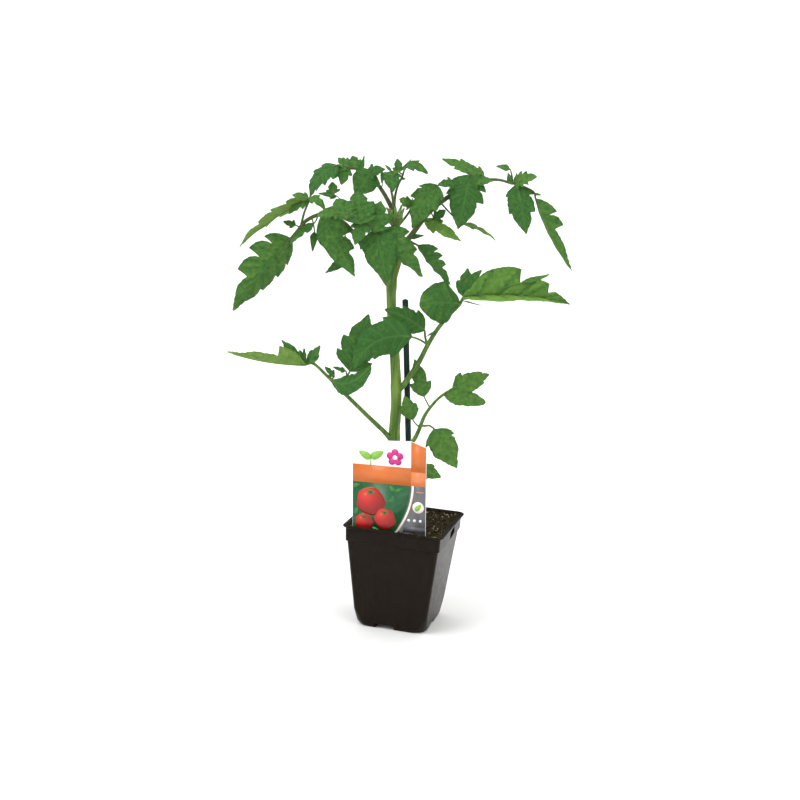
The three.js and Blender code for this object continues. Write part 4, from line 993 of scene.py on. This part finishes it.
def make_soil(material):
    rng = np.random.default_rng(SEED + 40)
    shell = Shell()
    step = POT_HEIGHT - COLLAR_HEIGHT
    corner = CORNER_RADIUS_TOP - WALL
    body_top, base = BODY_TOP_WIDTH / 2, BASE_WIDTH / 2
    half = COLLAR_WIDTH / 2 - WALL - SOIL_GAP
    low, rise = (base + (body_top - base) * z / step - WALL - SOIL_GAP_BELOW for z in (FLOOR, CORNER_RISE))
    rings = [
        even_square(low, CORNER_RADIUS_BASE - WALL, FLOOR + 0.3),
        even_square(rise, corner, CORNER_RISE + 0.3),
        even_square(body_top - WALL - SOIL_GAP_BELOW, corner, step - 1),
        even_square(half - EDGE, corner, step + 2.8),
    ]
    for share in 1 - np.arange(SOIL_RINGS) / SOIL_RINGS:
        ring = even_square(half * share, corner * share)
        ring[:, 2] = [soil_height(x, y) for x, y, _ in ring]
        rings.append(ring)
    tone = np.concatenate([[noise.noise(Vector(p) / 4) for p in ring] for ring in rings] + [[0, 0]])
    add_loft(shell, rings, tone=0.25 + 0.3 * tone)
    add_clods(shell, rng, half)
    add_fibres(shell, rng, half)
    carried(shell.build("crumbly_soil", [material]), "soil", "soil")


def scattered(rng, half, count):
    """Places on the soil, more of them towards the walls, where crumbs gather."""
    spread = rng.uniform(-1, 1, (count, 2))
    spread = np.sign(spread) * np.abs(spread) ** 0.85 * (half - 1.5)
    return np.array([(x, y, soil_height(x, y)) for x, y in spread])


def icosahedron():
    """The points of an icosahedron, and its triangles: every three corners at the shortest distance."""
    golden = (1 + 5**0.5) / 2
    pairs = [(a, b) for a in (1, -1) for b in (golden, -golden)]
    points = unit(np.array([p for a, b in pairs for p in ((0, a, b), (a, b, 0), (b, 0, a))]))
    gaps = np.linalg.norm(points[:, None] - points[None], axis=-1)
    near = (gaps > 0) & (gaps < gaps[0, 1:].min() * 1.01)
    faces = []
    for a, b, c in itertools.combinations(range(12), 3):
        if near[a, b] and near[b, c] and near[a, c]:
            out = np.cross(points[b] - points[a], points[c] - points[a]).dot(points[a])
            faces.append((a, b, c) if out > 0 else (a, c, b))
    return points, faces


def add_clods(shell, rng, half):
    """Loose crumbs of peat, with a few pale grains among them."""
    ball, faces = icosahedron()
    for place in scattered(rng, half, CLOD_COUNT):
        size = CLOD_SIZES[0] + (CLOD_SIZES[1] - CLOD_SIZES[0]) * rng.random() ** 3
        shape = ball * rng.uniform(0.6, 1.25, (12, 1)) * size * rng.uniform(0.6, 1.2, 3)
        tone = 0.48 * rng.random() if rng.random() < 0.95 else 0.75 + 0.25 * rng.random()
        shell.add(shape + place + (0, 0, 0.25 * size), [faces], tone=tone)


def add_fibres(shell, rng, half):
    """Bits of straw and root fibre on the soil."""
    t = np.linspace(-0.5, 0.5, 5)
    for place in scattered(rng, half, FIBRE_COUNT):
        heading = rng.uniform(0, 2 * math.pi)
        length = rng.uniform(*FIBRE_LENGTHS)
        turn = heading + rng.normal(0, 0.6) * t
        rise = 0.5 + rng.uniform(0.1, 0.9) * (0.25 - t**2) * 3
        path = place + np.stack([np.cos(turn) * t * length, np.sin(turn) * t * length, rise], -1)
        path[:, :2] = np.clip(path[:, :2], -half + 0.5, half - 0.5)
        radius = rng.uniform(*FIBRE_RADII)
        add_tube(shell, path, np.full(5, radius), 5, 0, tone=rng.uniform(0.35, 1.0))


# The stake and the label.

def make_stake(material):
    foot = planted(STAKE_FOOT)
    direction = unit(planted(STAKE_HEAD) - foot)
    stops = [(0, STAKE_RADIUS / 2), (STAKE_POINT, STAKE_RADIUS)]
    for at in range(STAKE_KNOT_SPACING, STAKE_LENGTH, STAKE_KNOT_SPACING):
        for offset in np.linspace(-1, 1, 9):
            rise = STAKE_KNOT_RISE * math.cos(offset * math.pi / 2)
            stops.append((at + offset * STAKE_RADIUS, STAKE_RADIUS + rise))
    for end, inset in ((1, 0), (0.3, 0.3), (0, 1)):
        stops.append((STAKE_LENGTH - end, STAKE_RADIUS - inset))
    along, radii = np.array(stops).T
    shell = Shell()
    add_tube(shell, foot + direction * along[:, None], radii, STAKE_SIDES, 0)
    carried(shell.build("plastic_stake", [material], 50), "stake_plastic", "stake")


def on_label(points):
    """Points of the label's own frame, across, up and out of its front face, in the pot's frame."""
    stand = Matrix.Rotation(math.pi / 2 + LABEL_TIP_FORWARD, 3, "X")
    lean = Matrix.Rotation(-LABEL_LEAN, 3, "Y")
    return np.asarray(points, float) @ np.array(lean @ stand).T + LABEL_PLACE


def label_outline():
    half = LABEL_WIDTH / 2
    top = LABEL_HEIGHT - LABEL_KINK
    inner = half - LABEL_CORNER
    shoulder = LABEL_HEIGHT - LABEL_SHOULDER
    return [
        (LABEL_SPIKE_HALF, -LABEL_SPIKE_TAPER),
        *quarter(inner, LABEL_CORNER, LABEL_CORNER, 3),
        (half, shoulder - 1),
        (half - 1, shoulder),
        (half - LABEL_STRIP_WIDTH, LABEL_HEIGHT),
        *quarter(-inner, top - LABEL_CORNER, LABEL_CORNER, 1),
        *quarter(-inner, LABEL_CORNER, LABEL_CORNER, 2),
        (-LABEL_SPIKE_HALF, -LABEL_SPIKE_TAPER),
        (-LABEL_SPIKE_FOOT_HALF, -LABEL_SPIKE_LENGTH),
        (LABEL_SPIKE_FOOT_HALF, -LABEL_SPIKE_LENGTH),
    ]


def add_plate(shell, outline, low, high, slot):
    """A flat closed plate on the label, between two heights over the card's middle."""
    points, faces = prism(outline, low, high)
    shell.add(on_label(points), faces, slot)


def disc(cx, cy, radius, count=40):
    return [(cx + radius * math.cos(a), cy + radius * math.sin(a)) for a in round_angles(count)]


def bar(left, bottom, right, top):
    return [(left, bottom), (right, bottom), (right, top), (left, top)]


def printed_leaf(cx, cy, size, turn):
    """A plain pointed leaf shape."""
    t = round_angles(20)
    u = size / 2 * np.cos(t)
    v = size * 0.26 * np.sin(t) * (1 - 0.35 * np.cos(t))
    c, s = math.cos(turn), math.sin(turn)
    return np.column_stack([cx + u * c - v * s, cy + u * s + v * c])


def add_fruit(shell, cx, cy, radius, level, slots):
    """A printed round fruit, lit from the upper left, with its star of sepals."""
    angle = round_angles(48)
    outline = radius * (1 + 0.035 * np.cos(5 * angle + cx)) * np.where(np.sin(angle) > 0, 0.9, 0.96)
    rings = []
    tone = []
    for share in np.linspace(1, 0.05, 8):
        u = outline * share * np.cos(angle)
        v = outline * share * np.sin(angle)
        rings.append(flat_ring(np.column_stack([cx + u, cy + v]), level))
        tone.append(np.clip(1 - np.hypot(u + 0.35 * radius, v - 0.4 * radius) / radius * 0.9, 0, 1))
    tone = np.concatenate([tone[0], *tone, [tone[0].mean(), tone[-1].mean()]])
    rings = [on_label(ring) for ring in [rings[0] - (0, 0, 0.15), *rings]]
    add_loft(shell, rings, slots["fruit"], tone)
    at = np.array([cx, cy + radius * 0.55])
    reach = radius * 0.42
    for i in range(5):
        turn = math.radians(90 + 72 * i + 11 * cx)
        tip = at + (math.cos(turn) * reach, math.sin(turn) * reach * 0.55)
        side = np.array([-math.sin(turn), math.cos(turn) * 0.55]) * reach * 0.2
        half_way = (at + tip) / 2
        sepal = [at - side, half_way - side, tip, half_way + side, at + side]
        add_plate(shell, sepal, level - 0.05, level + 0.04, slots["sepal"])


def make_label(card, prints):
    """The card, and its print as thin plates on its front: plain bands, a sprout, a flower, three
    fruits, and a round badge with a leaf beside a curved stripe."""
    shell = Shell()
    front = LABEL_THICKNESS / 2
    add_plate(shell, label_outline(), -front, front, 0)
    carried(shell.build("label_card", [card], 40), "label_card", "label")

    shell = Shell()
    slots = {name: i for i, name in enumerate(prints)}
    edge = LABEL_WIDTH / 2 - PRINT_MARGIN
    strip = LABEL_WIDTH / 2 - LABEL_STRIP_WIDTH
    turn_up = BAND_HIGH - 4
    first, second, third = (front + PRINT_LAYER * i for i in (1, 2, 3))

    def lay(outline, top, ink):
        add_plate(shell, outline, front - 0.1, top, slots[ink])

    lay(bar(-edge, BAND_LOW, strip, BAND_HIGH), first, "orange")
    shoulder = LABEL_HEIGHT - LABEL_SHOULDER - PRINT_MARGIN - 1
    lay([(strip, turn_up), (edge, turn_up), (edge, shoulder), (LABEL_WIDTH / 2 - 1.2, shoulder + 0.9),
        (strip, LABEL_HEIGHT - PRINT_MARGIN)], first, "orange")
    lay(bar(strip, BAND_LOW, edge, turn_up), first, "peach")

    sweep = [(22 - 22 * t**2, BAND_LOW * (1 - t) + PRINT_MARGIN * t) for t in np.linspace(0, 1, 20)]
    corner = LABEL_CORNER - PRINT_MARGIN
    lay(sweep[::-1] + [(-edge, BAND_LOW)] + quarter(-edge + corner, PRINT_MARGIN + corner, corner, 2),
        first, "foliage")
    for cx, cy, radius, level in ((-19, 39, 16, second), (-26, 16, 10, third), (-4, 21, 12, third + 0.05)):
        add_fruit(shell, cx, cy, radius, level, slots)
    for cx, cy, turn in (
        (-34, 54, 0.3), (-34, 27, 1.5), (3, 42, 1.2), (10, 52, 0.5), (-14, 9, 2.6), (3, 53, 2.2)
    ):
        lay(printed_leaf(cx, cy, 8, turn), second, "sepal")

    lay(sweep + [(edge, PRINT_MARGIN), (edge, BAND_LOW)], first, "grey")
    lay([(u + 1.4, v) for u, v in sweep] + [(u + 3.6, v) for u, v in sweep[::-1]], second, "cream")
    lay(bar(14.5, 9, edge, 15), second, "dark")
    lay(disc(30.2, 36, 5.9), second, "cream")
    lay(printed_leaf(30.2, 36, 9, 0.9), third, "leaf")
    for i in range(3):
        lay(disc(20.5 + 6 * i, 22, 1.4), second, "white")
    lay(bar(28, 51.5, edge - 2, 52.4), second, "peach")

    x, y = SPROUT_PLACE
    lay(bar(x - 0.7, y - 4, x + 0.7, y + 6), first, "leaf")
    lay(printed_leaf(x + 6.6, y + 8.5, 15, 0.5), second, "leaf")
    lay(printed_leaf(x - 6, y + 7.5, 14, 2.65), second, "leaf")
    x, y = FLOWER_PLACE
    for i in range(5):
        turn = math.radians(90 + 72 * i)
        lay(disc(x + 5.2 * math.cos(turn), y + 5.2 * math.sin(turn), 3.7, 24), first + 0.004 * i, "magenta")
    lay(disc(x, y, 2.4, 24), second + 0.03, "white")
    carried(shell.build("label_print", list(prints.values())), "label_card")


# Materials.

class Paint:
    """A node material in the making. Colours are sockets or sRGB triples, 0 to 255."""

    def __init__(self, name, roughness, specular=0.5, **values):
        self.material = bpy.data.materials.new(name)
        self.material.use_nodes = True
        self.tree = self.material.node_tree
        self.shader = self.tree.nodes["Principled BSDF"]
        for key, value in dict(Roughness=roughness, Specular_IOR_Level=specular, **values).items():
            self.shader.inputs[key.replace("_", " ")].default_value = value

    def node(self, kind, output, **values):
        """An output of a new node. Each value is a socket to link, a plain input, or a setting."""
        made = self.tree.nodes.new("ShaderNode" + kind)
        for key, value in values.items():
            name = key.replace("_", " ")
            if isinstance(value, bpy.types.NodeSocket):
                self.tree.links.new(value, made.inputs[name])
            elif name in made.inputs:
                made.inputs[name].default_value = value
            else:
                setattr(made, key, value)
        return made.outputs[output]

    def mix(self, factor, a, b):
        a, b = (linear(colour) if isinstance(colour, tuple) else colour for colour in (a, b))
        return self.node("Mix", "Result", data_type="RGBA", Factor=factor, A=a, B=b)

    def sum(self, a, b):
        total = self.tree.nodes.new("ShaderNodeMath")
        self.tree.links.new(a, total.inputs[0])
        self.tree.links.new(b, total.inputs[1])
        return total.outputs[0]

    def noise(self, scale, detail=3.0, stretch=None):
        """Noise in the model's own metres: scale is in features a metre."""
        place = self.node("TexCoord", "Object")
        if stretch:
            place = self.node("Mapping", "Vector", Vector=place, Scale=stretch)
        return self.node("TexNoise", "Fac", Vector=place, Scale=scale, Detail=detail)

    def ranged(self, value, low, high, to_low=0.0, to_high=1.0):
        """A value's stretch between low and high, moved to another stretch and clamped."""
        return self.node("MapRange", "Result", Value=value, From_Min=low, From_Max=high,
            To_Min=to_low, To_Max=to_high)

    def attribute(self, name, output="Fac"):
        return self.node("Attribute", output, attribute_name=name)

    def link(self, name, socket):
        self.tree.links.new(socket, self.shader.inputs[name])

    def finish(self, colour, height, distance):
        """The material, with its colour and a bump of a height in metres."""
        self.link("Base Color", colour)
        if height:
            self.link("Normal", self.node("Bump", "Normal", Height=height, Distance=distance))
        return self.material


def leaf_material(name, deep, pale, vein, roughness):
    """Leaf skin, mottled between two greens, with paler veins and a net of small cells."""
    paint = Paint(name, roughness, 0.1, Subsurface_Weight=0.08, Subsurface_Scale=0.001)
    total = paint.sum(paint.ranged(paint.noise(290, 8), 0.3, 0.7, -0.19, 0.3), paint.attribute("tone"))
    base = paint.mix(paint.ranged(total, 0, 1), deep, pale)
    colour = paint.mix(paint.ranged(paint.attribute("vein"), 0, 1, 0, 0.4), base, vein)
    net = paint.node("TexVoronoi", "Distance", feature="DISTANCE_TO_EDGE", Scale=0.75,
        Vector=paint.attribute("sheet", "Vector"))
    return paint.finish(colour, paint.ranged(net, 0, 0.25), 0.0006)


def stalk_material(name, deep, pale):
    """Streaky green skin that grows brighter above a tone of 0 and dusky below it."""
    paint = Paint(name, 0.5, 0.3, Subsurface_Weight=0.08, Subsurface_Scale=0.001)
    tone = paint.attribute("tone")
    base = paint.mix(paint.ranged(paint.noise(260, 5, (1, 1, 0.08)), 0.38, 0.64), deep, pale)
    bright = paint.mix(paint.ranged(tone, 0, 1, 0, 0.6), base, (150, 176, 84))
    dusky = paint.mix(paint.ranged(tone, -1, 0, 0.85, 0), bright, (62, 60, 36))
    return paint.finish(dusky, paint.noise(900, 2, (1, 1, 0.2)), 0.0002)


def hair_material():
    paint = Paint("plant_hairs", 0.6, Subsurface_Weight=0.2, Subsurface_Scale=0.0005)
    return paint.finish(paint.mix(paint.noise(400), (178, 196, 140), (214, 222, 182)), None, 0)


def pot_material():
    """Dark moulded plastic: faint upright marks on its sides, and dull where it faces up."""
    paint = Paint("pot_plastic", 0.3, 0.13)
    dust = paint.ranged(paint.noise(60, 6), 0.5, 0.76, 0, 0.35)
    scuffs = paint.ranged(paint.noise(420, 5, (1, 1, 6)), 0.68, 0.82, 0, 0.12)
    colour = paint.mix(scuffs, paint.mix(dust, (20, 12, 3), (33, 24, 14)), (74, 70, 66))
    normal = paint.node("NewGeometry", "Normal")
    upward = paint.ranged(paint.node("SeparateXYZ", "Z", Vector=normal), 0.5, 1, 0, 0.5)
    paint.link("Roughness", paint.sum(paint.ranged(paint.noise(160, 5), 0.3, 0.7, 0.28, 0.36), upward))
    return paint.finish(colour, paint.noise(700, 3, (1, 1, 0.06)), 0.0002)


def soil_material():
    """Dark peat, and straw where the tone is high."""
    paint = Paint("peat_soil", 0.95, 0.25)
    grit = paint.noise(700, 4)
    dark = paint.mix(paint.ranged(grit, 0.35, 0.7), (10, 7, 3), (68, 56, 24))
    straw = paint.mix(paint.noise(300), (116, 106, 76), (190, 180, 144))
    colour = paint.mix(paint.ranged(paint.attribute("tone"), 0.4, 0.9), dark, straw)
    return paint.finish(colour, grit, 0.0006)


def stake_material():
    paint = Paint("stake_plastic", 0.4, 0.3)
    colour = paint.mix(paint.noise(120, 4, (1, 1, 0.3)), (5, 27, 26), (20, 54, 50))
    return paint.finish(colour, paint.noise(800, 3, (1, 1, 0.15)), 0.0002)


def print_material(name, colour, other, scale=140):
    """A printed colour with the faint unevenness of ink on plastic."""
    paint = Paint("print_" + name, PRINT_ROUGHNESS)
    return paint.finish(paint.mix(paint.noise(scale), colour, other), paint.noise(2500, 1), 0.00001)


def fruit_material():
    """A printed red that goes from shade to light with the tone."""
    paint = Paint("print_fruit", PRINT_ROUGHNESS)
    reds = paint.node("ValToRGB", "Color", Fac=paint.attribute("tone"))
    stops = ((0.0, (132, 16, 12)), (0.5, (186, 32, 24)), (0.88, (210, 58, 40)), (1.0, (236, 116, 88)))
    elements = reds.node.color_ramp.elements
    while len(elements) < len(stops):
        elements.new(0.5)
    for element, (at, colour) in zip(elements, stops):
        element.position = at
        element.color = linear(colour)
    specks = paint.ranged(paint.noise(500, 2), 0.4, 0.6, 0, 0.12)
    return paint.finish(paint.mix(specks, reds, (190, 30, 24)), None, 0)


# The studio.

def make_camera():
    turn = Matrix.Rotation(CAMERA_TURN, 4, "Z")
    pitch = Matrix.Rotation(math.pi / 2 - CAMERA_PITCH, 4, "X")
    roll = Matrix.Rotation(CAMERA_ROLL, 4, "Z")
    target = Matrix.Translation(Vector((CAMERA_TARGET_ACROSS, 0, CAMERA_TARGET_HEIGHT)) * MM)
    back = Matrix.Translation((0, 0, CAMERA_DISTANCE * MM))
    data = bpy.data.cameras.new("camera")
    data.sensor_width = SENSOR_WIDTH
    data.lens = FOCAL_PIXELS / FRAME_PIXELS * SENSOR_WIDTH
    data.clip_start = 0.05
    data.clip_end = 50
    camera = bpy.data.objects.new("camera", data)
    camera.matrix_world = turn @ target @ pitch @ roll @ back
    bpy.context.scene.collection.objects.link(camera)
    bpy.context.scene.camera = camera


def make_light(name, azimuth, elevation, distance, size, power, shines=None):
    """A soft square light, which faces the plant, unless the way that it shines is given."""
    a, e = math.radians(azimuth), math.radians(elevation)
    away = Vector((math.sin(a) * math.cos(e), -math.cos(a) * math.cos(e), math.sin(e)))
    data = bpy.data.lights.new(name, "AREA")
    data.size = size
    data.energy = power
    light = bpy.data.objects.new(name, data)
    light.location = Vector(LIGHT_AIM) + away * distance
    back = away if shines is None else -Vector(shines)
    light.rotation_euler = back.to_track_quat("Z", "Y").to_euler()
    bpy.context.scene.collection.objects.link(light)


def make_studio():
    """A pale floor that rises in a round sweep on all sides, a white world, and four lights."""
    flat = STUDIO_RADIUS - STUDIO_SWEEP
    profile = [(0.02, 0), (flat, 0)]
    for angle in np.linspace(0, 1, 13)[1:] * math.pi / 2:
        profile.append((flat + STUDIO_SWEEP * math.sin(angle), STUDIO_SWEEP - STUDIO_SWEEP * math.cos(angle)))
    profile.append((STUDIO_RADIUS, STUDIO_HEIGHT))
    rings = [flat_ring(disc(0, 0, r, STUDIO_SIDES), z) / MM for r, z in profile[::-1]]
    middle = np.arange(STUDIO_SIDES) + (len(rings) - 1) * STUDIO_SIDES
    shell = Shell()
    shell.add(rings, [ring_walls(len(rings), STUDIO_SIDES), [middle]])
    paint = Paint("studio_floor", 0.9, 0.1)
    material = paint.finish(paint.mix(paint.noise(3, 2), (246, 246, 245), (249, 249, 249)), None, 0)
    floor = shell.build("studio_floor", [material])
    floor.location.z = -0.0002

    world = bpy.data.worlds.new("studio")
    world.use_nodes = True
    background = world.node_tree.nodes["Background"]
    background.inputs["Color"].default_value = (1, 1, 1, 1)
    background.inputs["Strength"].default_value = 0.7
    bpy.context.scene.world = world
    for name, light in LIGHTS.items():
        make_light(name, *light)
    bpy.context.scene.view_settings.view_transform = "Standard"


# The whole scene.

INKS = {
    "orange": ((206, 108, 42), (216, 116, 50)),
    "peach": ((228, 126, 74), (234, 136, 84)),
    "foliage": ((8, 66, 40), (34, 112, 58), 220),
    "sepal": ((30, 96, 44), (70, 140, 64), 320),
    "grey": ((92, 92, 96), (112, 112, 116)),
    "dark": ((74, 76, 80), (92, 94, 98)),
    "cream": ((250, 238, 218), (252, 244, 230)),
    "white": ((246, 246, 246), (252, 252, 252)),
    "leaf": ((126, 182, 66), (146, 196, 84)),
    "magenta": ((196, 32, 122), (210, 52, 138)),
}


def main():
    make_camera()
    make_studio()
    make_pot(pot_material())
    make_soil(soil_material())
    make_stake(stake_material())
    prints = {name: print_material(name, *ink) for name, ink in INKS.items()}
    prints["fruit"] = fruit_material()
    make_label(print_material("card", (244, 244, 246), (250, 250, 250)), prints)

    stalks = stalk_material("leaf_stalks", (62, 94, 34), (92, 126, 50))
    hairs = hair_material()
    upper = leaf_material("leaf_upper", (59, 106, 50), (120, 164, 71), (98, 148, 74), 0.6)
    under = leaf_material("leaf_under", (90, 133, 59), (147, 185, 92), (146, 178, 100), 0.65)
    stem_green = stalk_material("stem_green", (66, 101, 34), (116, 147, 61))
    make_stem([upper, under, stem_green, hairs])
    for index, (name, facts) in enumerate(LEAVES.items()):
        make_leaf(name, facts, index + 1, [upper, under, stalks, hairs])


main()
